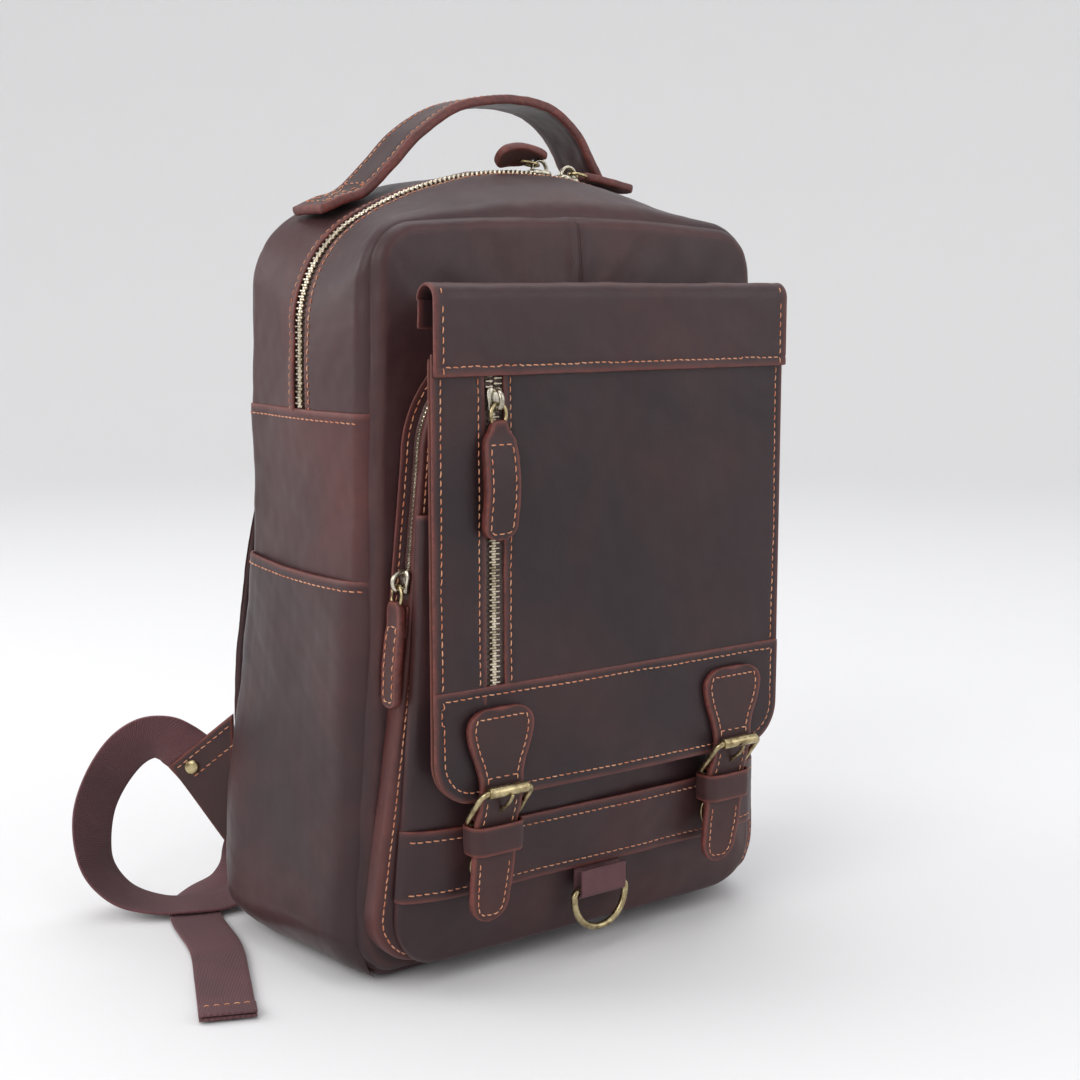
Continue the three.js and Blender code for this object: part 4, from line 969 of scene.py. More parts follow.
# ---------------------------------------------------------------- pockets on the front
def build_organizer():
    leather = MATERIAL["leather"]
    loop = rounded_outline(ORGANIZER)
    grid = plate_grid(loop, ORGANIZER_SPINE, organizer_face_y, 2.6, walls=ORGANIZER_DEPTH - 0.2, dent=3.2)
    x, z = loop.T
    middle_y = panel_face_y(x, z) - GAP - ORGANIZER_DEPTH / 2
    inset = ring_inset(loop, ORGANIZER_SPINE)
    row = np.arange(grid.shape[0])[:, None]
    wall_rows = grid.shape[0] - len(inset)
    channel = bump_at(grid[..., 1] - middle_y, 2.9, 6) * smooth((z - ORGANIZER_ZIP_END_Z)
                                                                / 3) * (row < wall_rows)
    inward = inward_of(loop)
    grid[..., 0] += 2.0 * channel * inward[:, 0]
    grid[..., 2] += 2.0 * channel * inward[:, 1]
    wear = np.concatenate([np.linspace(0.3, 0.5, wall_rows), 0.55 * np.clip(1 - inset / 6, 0, 1)])
    grid = lived_in(grid, 51, low=0.6, closed=True, keep=smooth((row - 4) / 8))
    piece = plate("organizer_skin", grid, MATERIAL["warm_leather"], wear)
    declare(piece, "organizer_pocket")

    # The zip, let into the wall over the top of the pocket.
    high = z > ORGANIZER_ZIP_END_Z - 1
    order = np.roll(np.arange(len(loop)), len(loop) // 2)
    order = order[high[order]]
    path = np.stack([x[order], middle_y[order], z[order]], 1)
    normals = np.stack([-inward[order, 0], 0 * order, -inward[order, 1]], 1)
    zip_tape("organizer_zip_tape", path - normals * 1.5, normals, 3.4, "root", 7)
    zip_teeth("organizer_zip_teeth", path[2:-2] - normals[2:-2] * 0.75, normals[2:-2], "root", 2.2, 0.72)

    # The wall's flange on the front panel, with its cut edge, round the top of the pocket.
    width = np.linspace(-0.5, 5.2, 7)
    flange = path[:, None] * [1, 0, 1] + normals[:, None] * width[None, :, None]
    flange[..., 1] = panel_face_y(flange[..., 0], flange[..., 2]) - 1.3 - 0.6 * bump_at(width, 1.6)
    flange = lived_in(flange[:, ::-1], 52, 0.2, 0.05)
    piece = sheet("organizer_flange", flange, 1.3, leather, "root", sides=("left",), edge_wear=2.0)
    line = path + normals * 2.6
    line[:, 1] = panel_face_y(line[:, 0], line[:, 2]) - 2.4
    stitch(line, "organizer_flange", normal=FORWARD, seed=11)

    # Stitches round the pocket's face, just inside its rim.
    rim = np.roll(ring_places(loop, ORGANIZER_SPINE)[0][5], -len(loop) // 2, 0)
    path = np.stack([rim[:, 0], organizer_face_y(*rim.T) - 1, rim[:, 1]], 1)
    stitch(path, "organizer_skin", normal=FORWARD, seed=12)

    # The welt that covers each end of the zip. It leans out as the wall does.
    top, foot, slope = ORGANIZER_ZIP_END_Z - 0.6, 187, 0.098
    for name, side in SIDES.items():
        i = int(np.argmin(abs(z - ORGANIZER_ZIP_END_Z) + 500 * (x * side < 0)))
        y, z_rows = np.meshgrid(np.linspace(middle_y[i] + 5.2, middle_y[i] - 4.4, 8),
                                np.linspace(top, foot, 10))
        welt = np.stack([side * (abs(x[i]) + 1.5) + side * (top - z_rows) * slope, y, z_rows], -1)
        if side > 0:
            welt = welt[:, ::-1]
        piece = sheet(f"zip_end_welt_{name}", welt, 1.2, leather, "root", edge_wear=1.8)
        path = [(side * (abs(x[i]) + 2.6), v, ORGANIZER_ZIP_END_Z - 3.4) for v in np.linspace(y[0, 0],
                y[0, -1], 6)]
        stitch(path, piece.name, normal=(side, 0, 0), length=2.6, pitch=3.4)


def build_flap_pocket():
    leather = MATERIAL["leather"]
    o = FLAP_POCKET
    loop = rounded_outline(o, open_top=True)
    grid = plate_grid(loop, POCKET_SPINE, pocket_face_y, 3.0, closed=False, walls=FLAP_POCKET_DEPTH
                      * FLAP_POCKET_RIM)
    inset = ring_inset(loop, POCKET_SPINE, False)
    wall_rows = grid.shape[0] - len(inset)
    face_rows = smooth((np.arange(grid.shape[0]) - wall_rows) / 12)[:, None]
    bow = bump_at(o["top"] - grid[..., 2], 40) * (1 - (grid[..., 0] / o["top_half"]) ** 2)
    grid[..., 1] -= bow * face_rows
    grid = lived_in(grid, 61, low=0.7, keep=face_rows)
    wear = np.concatenate([np.full(wall_rows, 3.0), inset])[:, None] + 0 * grid[..., 0]
    wear = np.minimum(wear + 1.5, o["top"] - grid[..., 2])
    piece = sheet("flap_pocket_skin", grid, 2.0, leather, "root", sides=("left", "right"), edge_wear=2.5,
                  wear=wear, merge=True)
    declare(piece, "flap_pocket")
    hem_z = o["top"] - 4
    path = [(x, pocket_face_y(x, hem_z) - 2, hem_z) for x in np.linspace(-108, 108, 50)]
    stitch(path, piece.name, normal=FORWARD, seed=14)

    # The band across it.
    u = edge_spaced(-1, 1, 120)
    z = np.linspace(BAND_TOP, BAND_BOTTOM, 26)
    low = o["bottom"] + o["bottom_r"]
    half = lerp(o["bottom_half"], o["top_half"], (z - low) / (o["top"] - low))
    gx, gz = half[:, None] * u, z[:, None] + 0 * u
    sag = 1.2 * np.cos(u * math.pi / 2) * (gz - BAND_BOTTOM) / (BAND_TOP - BAND_BOTTOM)
    to_rim = half[:, None] - abs(gx)
    lift = 1.6 * smooth(to_rim / 8)
    band = np.stack([gx, pocket_face_y(gx, gz) - lift + rounded(to_rim, 3.0) - 0.25, gz - sag], -1)
    edge = np.minimum(BAND_TOP - gz, gz - BAND_BOTTOM)
    band[..., 1] += stitch_dent(edge) * smooth(to_rim / 6)
    band = lived_in(band[:, ::-1], 61, low=0.5)
    piece = sheet("pocket_band_skin", band, 1.6, leather, "root", sides=("first", "last"), edge_wear=2.2)
    declare(piece, "pocket_band")
    x = np.linspace(-BAND_HALF - 2, BAND_HALF + 2, 60)
    for z, sag, seed in ((BAND_TOP - 5.0, 1.2, 82), (BAND_BOTTOM + 4.0, 0, 54)):
        path = np.stack([x, pocket_face_y(x, z) - 4, z - sag * np.cos(x / BAND_HALF * math.pi / 2)], 1)
        stitch(path, "pocket_band_skin", normal=FORWARD, seed=seed)


# ---------------------------------------------------------------- flap
FLAP_FRONT_Y = FLAP_BACK_Y - FLAP_THICK
STRIP_Y = FLAP_FRONT_Y - GAP - OVERLAY
HINGE_Y = STRIP_Y + ROLL_R


def flap_bow(x, z):
    """The flap's face isn't quite flat: its foot is pushed out by what lies under it."""
    return -1.0 * smooth((200 - z) / 90) * (1 - (x / 130) ** 2) - 0.5 * np.sin(x / 31
            + 1) * smooth((170 - z) / 60)


def flat_grid(x0, x1, z0, z1, y):
    """Points of a flat piece of the flap, closer together near its edges."""
    def spaced(a, b):
        rim = [0, 0.5, 1.2, 2.0, 3.0, 3.9, 4.8, 6.0]
        inner = np.linspace(a + 8, b - 8, max(2, int((b - a - 16) / 2.4)))
        return np.concatenate([[a + r for r in rim], inner, [b - r for r in rim[::-1]]])
    gx, gz = np.meshgrid(spaced(x0, x1)[::-1], spaced(z0, z1)[::-1])
    return np.stack([gx, y + flap_bow(gx, gz), gz], -1)


def bend_with_flap(piece):
    """The roll at the flap's top is one leather with its tail. This bakes the piece's placement into its mesh."""
    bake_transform(piece)


def flap_loop(top):
    """The flap's outline up to some height, open along its top."""
    return rounded_outline(dict(bottom_half=FLAP_HALF, top_half=FLAP_HALF, bottom=FLAP_BOTTOM, top=top,
                                bottom_r=FLAP_CORNER_R, top_r=1), open_top=True)


def flap_stitch(a, b, count, on, seed, body="flap", normal=FORWARD):
    stitch(np.linspace(a, b, count), on, body, normal=normal, seed=seed)


def build_flap():
    leather, dark = MATERIAL["leather"], MATERIAL["flap_leather"]
    skin_y, band_y, back_y = FLAP_FRONT_Y, STRIP_Y + 0.2, FLAP_BACK_Y - 1.4
    seam_x = FLAP_HALF - SEAM

    # The whole flap's back layer.
    grid = plate_grid(flap_loop(FLAP_BACK_TOP), FLAP_SPINE, lambda x, z: back_y + flap_bow(x, z), 0.4,
                      closed=False)
    back = sheet("flap_back", grid, 1.4, MATERIAL["flesh"], "flap", sides=("first",), edge_wear=4,
                 merge=True)

    # The front layer on each side of the zip.
    gap_left, gap_right = FLAP_ZIP_X - FLAP_ZIP_HALF, FLAP_ZIP_X + FLAP_ZIP_HALF
    for name, x0, x1, gap_x in (("left", -FLAP_HALF, gap_left, gap_left), ("right", gap_right, FLAP_HALF,
            gap_right)):
        grid = flat_grid(x0, x1, 150, 326, skin_y)
        inside = abs(grid[..., 0] - gap_x)
        outside = abs(abs(grid[..., 0]) - FLAP_HALF)
        grid[..., 1] += stitch_dent(outside) + stitch_dent(inside, 3.4)
        grid = lived_in(grid, 71, low=0.5, keep=smooth(outside / 6))
        piece = sheet(f"flap_face_{name}", grid, 1.7, dark, "flap", sides=("left", "right"), edge_wear=2.4)
        declare(piece, "flap_panel" if name == "left" else None)
        side = SIDES[name]
        for x, seed in ((gap_x + side * 3.4, 15), (side * seam_x, 16)):
            flap_stitch((x, -85, STRIP_BOTTOM_Z - 1), (x, -85, FLAP_BAND_TOP_Z + 1), 40, piece.name, seed)

    # The band along its foot.
    loop = flap_loop(FLAP_BAND_TOP_Z)
    places, inset = ring_places(loop, FLAP_BAND_SPINE, False, step=3.6)
    x, z = places[..., 0], places[..., 1]
    dist = np.minimum(inset[:, None], FLAP_BAND_TOP_Z - z)
    grid = np.stack([x, band_y + flap_bow(x, z) + stitch_dent(dist), z], -1)
    grid = lived_in(grid, 71, low=0.5, keep=smooth(dist / 6))
    piece = sheet("flap_band", grid, OVERLAY, dark, "flap", sides=("left", "first", "right"),
                  edge_wear=2.6, wear=dist, merge=True)
    declare(piece, "flap_bottom_band")
    line = ring_places(loop, FLAP_BAND_SPINE, False, steps=[0, SEAM])[0][1]
    stitch([(a, -88, min(b, FLAP_BAND_TOP_Z - 4)) for a, b in line], piece.name, "flap", normal=FORWARD,
           seed=17)
    ends = [(x, -88, FLAP_BAND_TOP_Z - SEAM) for x in (-FLAP_HALF + 5, FLAP_HALF - 5)]
    flap_stitch(*ends, 60, piece.name, 18)

    # The strip along the top, rolled over backwards.
    roll = [(HINGE_Y + ROLL_R * c, FLAP_TOP + ROLL_R * s) for c, s in arc_turn(math.pi, 0, 22)]
    front_z = [*np.linspace(STRIP_BOTTOM_Z, STRIP_BOTTOM_Z + 6, 8), *np.linspace(STRIP_BOTTOM_Z + 8, 350,
            14)]
    line = np.array([(STRIP_Y, z) for z in front_z] + roll)
    u = np.linspace(0, 1, 100)
    x = FLAP_HALF * (1 - 2 * (0.75 * u + 0.25 * smooth(u)))
    grid = np.array([[(v, y, z) for v in x] for y, z in line])[::-1]
    outside = FLAP_HALF - abs(grid[..., 0])
    in_front = grid[..., 1] < HINGE_Y
    grid[..., 1] += (stitch_dent(outside) + stitch_dent(grid[..., 2] - STRIP_BOTTOM_Z, SEAM)) * in_front
    grid = lived_in(grid, 71, low=0.45, keep=smooth(outside / 6) * in_front)
    crest = 3.4 * bump_at(grid[..., 2] - FLAP_TOP - ROLL_R, 3.5)
    cut = ("left", "right", "last")
    wear = np.minimum(edge_distance(grid, False, cut), 5.0 - crest)
    skived = OVERLAY * (1 - 0.45 * smooth((grid[..., 1] - HINGE_Y + ROLL_R / 2) / ROLL_R))
    piece = sheet("flap_roll", grid, skived, leather, None, sides=cut, edge_wear=2.8, wear=wear)
    declare(piece, "flap_top_strip")
    for side in (-1, 1):
        path = [(side * seam_x, y - 2.5, z) for y, z in line]
        stitch(path[:22], piece.name, "flap", normal=FORWARD, seed=19)
        stitch(path[23:32], piece.name, "roll", normal=(0, -1, 0.6), seed=19)
    bend_with_flap(piece)
    ends = [(x, -88, STRIP_BOTTOM_Z + SEAM) for x in (-FLAP_HALF + 5, FLAP_HALF - 5)]
    flap_stitch(*ends, 60, piece.name, 20)

    # The roll's tail, which is sewn to the front panel.
    tail_y = HINGE_Y + ROLL_R
    x = np.linspace(FLAP_HALF, -FLAP_HALF, 70)
    grid = np.array([[(v, tail_y + 0.6 * smooth((346 - z) / 8), z) for v in x] for z in np.linspace(352,
            338.6, 12)])
    piece = sheet("flap_tail", grid, 1.2, leather, "root", sides=cut, edge_wear=0.8)
    declare(piece, "flap_anchor")
    drop = spline([(0, 344), (0.1, 340), (0.35, 337), (0.7, 335), (1, 333.4), (1, 331.6)], 22)
    x = np.linspace(-FLAP_HALF + 34, FLAP_HALF - 34, 60)
    grid = np.array([[(v, lerp(tail_y - 1.4, panel_face_y(v, z) - GAP, s), z) for v in x] for s, z in drop])
    piece = sheet("flap_tail_foot", grid, 1.6, leather, "root", edge_wear=0.8)

    # The zip in the flap, open above its slider.
    z = np.linspace(325, 152, 60)
    path = np.stack([0 * z + FLAP_ZIP_X, -82.0 + flap_bow(0 * z + FLAP_ZIP_X, z), z], 1)
    normals = np.tile(FORWARD, (len(z), 1))
    zip_tape("flap_zip_tape", path, normals, FLAP_ZIP_HALF + 1, "flap")
    zip_teeth("flap_zip_teeth", path + [0, -1.1, 0], normals, "flap", pitch=2.7, scale=1.15,
              spread=lambda p: 1.7 * float(smooth((p[2] - 303) / 7)))


# ---------------------------------------------------------------- straps of leather
def strap_grid(path, half, across=(1, 0, 0), columns=15, crown=0.0, toward=None):
    """Points of a strap's outer face along a path. half is its half width at each point of the path."""
    path = np.asarray(path, float)
    along = unit(np.gradient(path, axis=0))
    across = np.broadcast_to(np.asarray(across, float), path.shape)
    across = unit(across - along * np.sum(across * along, 1, keepdims=True))
    normal = unit(np.cross(along, across))
    if toward is not None and np.sum(normal * toward) < 0:
        across, normal = -across, -normal
    u = np.sin(np.linspace(-1, 1, columns) * math.pi / 2 * 0.8) / math.sin(math.pi / 2 * 0.8)
    half = np.asarray(half, float)
    lift = crown * (1 - u ** 2)
    grid = path[:, None] + across[:, None] * (half[:, None] * u)[..., None] + normal[:, None] * lift[None,
            :, None]
    return grid, across, normal


def tip_spaced(length, r, step=2.0):
    """Distances along a strap, close together at a rounded tip at its far end."""
    a = np.linspace(0, math.pi / 2, 9)
    straight = np.linspace(0, length - r, max(2, int((length - r) / step)))
    return np.concatenate([straight, length - r + r * np.sin(a[1:])])


def profile(points, s):
    p = np.asarray(points, float)
    return np.interp(s, p[:, 0], p[:, 1])


BILLET_PATH = [(-87.7, 151), (-87.7, 132), (-87.7, 119), (-88.5, 110), (-87.2, 100), (-84.9, 91),
               (-84.7, 80), (-83.6, 62), (-81.2, 39)]
BILLET_HALF = [(0, 9), (0.5, 12), (1.6, 14.6), (3.2, 16.9), (5.5, 18.8), (9, 19.9), (13, 19.6), (20, 17.8),
               (28, 14.6), (35, 12.7), (42, 12.3), (92, 12.3), (100, 12.0)]


def build_buckled_strap(name, side):
    strap = MATERIAL["strap_leather"]
    x = side * BUCKLE_X
    path = spline([(x - 0.06 * max(0, 104 - z), y, z) for y, z in BILLET_PATH], 300)
    run = run_of(path)
    length, r = run[-1], 11.0
    s = np.concatenate([[0, 0.25, 0.6, 1.1, 1.8], tip_spaced(length, r, 1.7)[2:]])
    half = profile(BILLET_HALF, s)
    tip = np.clip(s - (length - r), 0, r)
    half = half * np.where(tip > 0, np.sqrt(np.maximum(1 - (tip / r) ** 2, 0.006)) ** 0.9, 1)
    half = half - 0.9 * smooth((s - length + 34) / 34)
    at = at_run(s, run, path)
    grid, across, normal = strap_grid(at, np.maximum(half, 0.5), toward=FORWARD)
    grid = grid + normal[:, None] * 1.5
    grid = lived_in(grid, 81 + side, low=0.35, keep=smooth(np.abs(s - 50) / 20)[:, None])
    piece = sheet(f"billet_skin_{name}", grid, 3.0, strap, "flap", edge_wear=2.2, bulge=0.7)
    declare(piece, f"billet_{name}")

    def edge_line(s0, s1, inset, way):
        pick = (s > s0) & (s < s1)
        width = np.maximum(half[pick] - inset, 0)
        return at[pick] + across[pick] * (way * width)[:, None] + normal[pick] * 3.2

    def level_line(place, way, widths):
        return np.array([at[np.searchsorted(s, place)] + way * v for v in widths]) + [0, -3.2, 0]

    def strap_stitch(line, pitch, seed):
        stitch(line, piece.name, "flap", normal=FORWARD, pitch=pitch, length=pitch - 1, seed=seed)

    left, right = edge_line(SEAM, 39, 3.6, -1)[::-1], edge_line(SEAM, 39, 3.6, 1)
    top = [left[-1:] + [0, 0, 0.6], right[:1] + [0, 0, 0.6]]
    strap_stitch(np.concatenate([left[:-1], *top, right[1:]]), 3.9, 21)
    strap_stitch(level_line(33.5, across[0], np.linspace(-10.2, 10.2, 12)), 3.9, 22)
    strap_stitch(edge_line(47, 67, 3.4, -1), 3.8, 24)
    strap_stitch(edge_line(47, 67, 3.4, 1), 3.8, 25)
    left, right = (edge_line(79, length - 4.4, 3.4, way) for way in (-1, 1))
    tip_line = level_line(length - 4.0, across[-1], (-3.4, 0, 3.4))
    strap_stitch(np.concatenate([left, tip_line, right[::-1]]), 3.8, 23)

    # The chape: leather folded over the heel bar, slotted for the prong.
    wrap, foot = HEEL_R + GAP + 1.8, 57

    def taper(z):
        return 1 - 0.28 * float(smooth((82 - z) / 14)) - 0.25 * float(smooth((62 - z) / 5))

    fold = [(HEEL_Y - wrap + 1.4, foot), (HEEL_Y - wrap + 0.5, 78)]
    fold += [(HEEL_Y + wrap * c, HEEL_Z + wrap * v) for c, v in arc_turn(math.pi, 0, 13)]
    fold = resample(fold + [(HEEL_Y + wrap, 78), (HEEL_Y + wrap, foot)], step=1.6)
    for part, x0, x1, node_name in (("a", -11.5, -2.4, f"chape_{name}"), ("b", 2.4, 11.5, None)):
        grid = np.array([[(x + v * taper(z), y, z) for v in np.linspace(x1, x0, 7)] for y, z in fold])
        piece = sheet(f"chape_skin_{name}_{part}", grid, 1.8, strap, "flap", edge_wear=1.6)
        declare(piece, node_name)
    for place, y, half in (("front", HEEL_Y - wrap + 0.9, 2.8), ("back", HEEL_Y + wrap, -2.8)):
        grid = np.array([[(x + v, y, z) for v in np.linspace(half, -half, 5)] for z in np.linspace(foot, 84,
                14)])
        piece = sheet(f"chape_web_{name}_{place}", grid, 1.7, strap, "flap", sides=("first",))

    # The keeper: a loop of leather round both layers.
    k_half, k_front, k_back, r = 15.6, -89.2, -73.6, 6.0
    loop = []
    for i, (cx, cy) in enumerate(((k_half - r, k_front + r), (k_half - r, k_back - r),
                                  (r - k_half, k_back - r), (r - k_half, k_front + r))):
        start = (i - 1) * math.pi / 2
        loop += [(x + cx + r * c, cy + r * v) for c, v in arc_turn(start, start + math.pi / 2, 7)]
    loop = resample(loop + loop[:1], step=1.3)[:-1]
    z = np.array([90.0, 89.5, 88.6, 87.2, 85.5, 83, 81, 79, 77.4, 76.4, 75.8])
    bellied = 0.6 * np.sin((z - 75.8) / 14.2 * math.pi) + 0.5 * smooth((z - 86) / 4)
    away = unit(loop - [x, (k_front + k_back) / 2])
    grid = np.array([[(*(p + d * b), h) for p, d in zip(loop, away)] for h, b in zip(z, bellied)])
    piece = sheet(f"keeper_skin_{name}", grid, 1.6, strap, "flap", closed=True, sides=("first", "last"),
                  edge_wear=1.6)
    declare(piece, f"keeper_{name}")


# ---------------------------------------------------------------- metal
def brass(name, verts, faces, body, node_name=None):
    declare(make(name, verts, faces, MATERIAL["antique_brass"], body), node_name)


def turned(profile_points, sides=40):
    """Vertices and faces of a turned shape: radius and place along +X."""
    a = np.linspace(0, 2 * math.pi, sides, endpoint=False)
    verts = [(d, r * math.cos(v), r * math.sin(v)) for r, d in profile_points for v in a]
    return np.array(verts, float), capped_faces(len(profile_points), sides)


def build_buckle(name, side):
    x = side * BUCKLE_X
    heel, roller = np.array([x, HEEL_Y, HEEL_Z]), np.array([x, ROLLER_Y, ROLLER_Z])
    down = unit(heel - roller)
    reach = np.linalg.norm(heel - roller)
    forward = np.cross(down, [1, 0, 0])
    half, r = 15.5, 4.2
    corner, quarter = [], arc_turn(0, math.pi / 2, 8)
    for end, way, sign, rising in ((roller, 1, 1, True), (heel, -1, 1, False), (heel, -1, -1, True),
                                   (roller, 1, -1, False)):
        c = end + np.array([sign * (half - r), 0, 0]) + down * r * way
        turn = [(v, -u) if rising else (u, -v) for u, v in quarter]
        corner += [c + np.array([sign * u * r, 0, 0]) + down * way * r * v for u, v in turn]
    loop = resample(corner + corner[:1], step=1.4)[:-1]
    brass(f"buckle_bow_{name}", *tube(loop, 1.55, 16, True, forward), "flap", f"buckle_frame_{name}")

    shape = [(1.9, -12), (2.5, -12), (2.85, -11.6), (2.95, -11), (2.95, 11), (2.85, 11.6), (2.5, 12),
             (1.9, 12)]
    verts, faces = turned(shape, 36)
    brass(f"roller_{name}", verts + roller, faces, f"buckle_roller_{name}", f"buckle_roller_{name}")

    rest = ROLLER_R + 1.1 + GAP
    bends = ((1.4, 0.4), (2.4, 0.8), (0.5 * reach, 2.8), (0.82 * reach, rest), (reach + 1.6, rest - 0.2))
    pin = spline([heel - down * a + forward * b for a, b in bends], 30)
    thick = np.interp(np.linspace(0, 1, 30), [0, 0.8, 0.95, 1], [1.15, 1.05, 0.95, 0.5])
    eye = turned([(1.75, -1.4), (2.6, -1.4), (3.0, -1.0), (3.0, 1.0), (2.6, 1.4), (1.75, 1.4)], 28)
    verts, faces = joined([(eye[0] + heel, eye[1]), tube(pin, thick, 14)])
    brass(f"prong_{name}", verts, faces, f"buckle_prong_{name}", f"buckle_prong_{name}")


def build_snap(name, side):
    """A snap's cap and stud, turned about Y: each ring has a radius and a place behind the disc's face."""
    cap = [(8.4, 0), (9.4, 0.15), (9.9, 0.5), (9.7, -0.15), (9.0, None), (4, None)]
    stud = [(4.4, 0), (4.9, 0.1), (5.1, 0.4), (6.6, 0.5), (7.7, 0.6), (8.0, 1.0), (8.0, None)]
    for kind, rings, body in (("cap", cap, "flap"), ("stud", stud, "root")):
        low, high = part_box(f"snap_{kind}_{name}")
        a, b = low.y / MM, high.y / MM
        places = [(r, b if d is None else b + d if d < 0 else a + d) for r, d in rings]
        verts, faces = turned(places, 44)
        verts = np.stack([side * BUCKLE_X + verts[:, 1], verts[:, 0], SNAP_Z + verts[:, 2]], 1)
        brass(f"snap_{kind}_disc_{name}", verts, faces, body, f"snap_{kind}_{name}")


def build_d_ring():
    y, z, half, drop, shoulder, wire_r, bend_r = -70, 36, 17.5, 22, 4, 1.9, 2.2
    bow = [(half * c, y, z - shoulder - (drop - shoulder) * v) for c, v in arc_turn(0, math.pi, 34)]
    left = [(-half + bend_r * (1 + c), y, z + bend_r * (v - 1)) for c, v in arc_turn(math.pi, math.pi / 2,
            6)]
    loop = resample(bow + left + [(-p[0], p[1], p[2]) for p in left[::-1]] + bow[:1], step=1.5)[:-1]
    brass("d_ring_wire", *tube(loop, wire_r, 18, True, BACKWARD), "d_ring", "d_ring")

    # The webbing that is folded round its straight side.
    thick, top = 1.4, BAND_BOTTOM - 1.6
    r = wire_r + 0.5 + thick
    path = [(0, y - r + 0.3, top), (0, y - r, z + 4)] + [(0, y - r * c, z - r * v) for c,
                                                         v in arc_turn(0, math.pi, 17)]
    path = resample(path + [(0, y + r, z + 4), (0, y + r, top)], step=1.2)
    grid, _, normal = strap_grid(path, np.full(len(path), 15.0))
    if normal[2][1] > 0:
        grid = grid[:, ::-1]
    webbing_piece("d_ring_webbing", grid, thick, "root", 0.3, "dring_loop", sides=("left", "right"))


def webbing_piece(name, grid, thick, body, bulge, node_name=None, **settings):
    """A band of webbing with its weave's coordinates: across and along, the same on both faces."""
    webbing = MATERIAL["webbing"]
    piece = sheet(name, grid, thick, webbing, body, rim=webbing, bulge=bulge, **settings)
    middle = grid.shape[1] // 2
    run = run_of(grid[:, middle])
    across = np.linalg.norm(grid - grid[:, middle][:, None], axis=-1) * np.sign(np.arange(grid.shape[1])
            - middle)
    flat = np.stack([across, np.broadcast_to(run[:, None], across.shape), 0 * across], -1).reshape(-1, 3)
    verts = np.array([v.co for v in piece.data.vertices]) / MM
    weave = np.zeros((len(verts), 3))
    weave[:len(flat)] = flat
    weave[len(flat):2 * len(flat)] = flat
    for i in range(2 * len(flat), len(verts)):
        near = np.argmin(np.sum((grid.reshape(-1, 3) - verts[i]) ** 2, 1))
        weave[i] = flat[near]
    add_weave(piece, weave)
    declare(piece, node_name)
    return piece


# ---------------------------------------------------------------- sliders, rings and pulls
RING_R, RING_LENGTH, RING_NEAR_X, RING_Z = 4.6, 5.8, 2, 4.8
PULL_R, PULL_THICK = 2.1, 4.2

# How far the curled pull leans forwards, in degrees.
PULL_TIP = 42


def slider_parts():
    """A slider lying at the origin, as in the CAD: along X, face up, its ring towards +X."""
    one_side = [(-6, -2.6), (-4.6, -4.2), (-2.4, -4.7), (2, -4.0), (5.4, -3.7), (6.1, -2.8)]
    corners = one_side + [(x, -y) for x, y in one_side[::-1]] + [(-5.2, 0)]
    outline = spline(corners, 72, closed=True)[:-1]
    levels = [(0.97, 0.3), (1.0, 0.6), (1.0, 1.7), (0.96, 2.15), (0.86, 2.45), (0.4, 2.6)]
    verts = [(s * x, s * y, z) for s, z in levels for x, y in outline]
    bridge = [(-4.6, 2.2), (-4.3, 4.6), (-2.6, 6.9), (0, 7.9), (2.6, 7.4), (4.6, 5.6), (5.1, 2.2)]
    bow_verts, bow_faces = tube(spline([(x, 0, z) for x, z in bridge], 40), 1.0, 12, normal=BACKWARD)
    bow_verts[:, 1] *= 1.55
    return joined([(np.array(verts), capped_faces(len(levels), len(outline))), (bow_verts, bow_faces)])


def placed(verts, x_axis, z_axis, at, lift=0.0):
    """Points of a slider, ring or pull where they belong. lift turns them up about the slider's bridge, in degrees."""
    if lift:
        c, s = math.cos(math.radians(lift)), math.sin(math.radians(lift))
        pivot = np.array([RING_NEAR_X, 0, RING_Z])
        x, y, z = (verts - pivot).T
        verts = np.stack([x * c - z * s, y, x * s + z * c], 1) + pivot
    return verts @ np.stack([x_axis, np.cross(z_axis, x_axis), z_axis]) + at


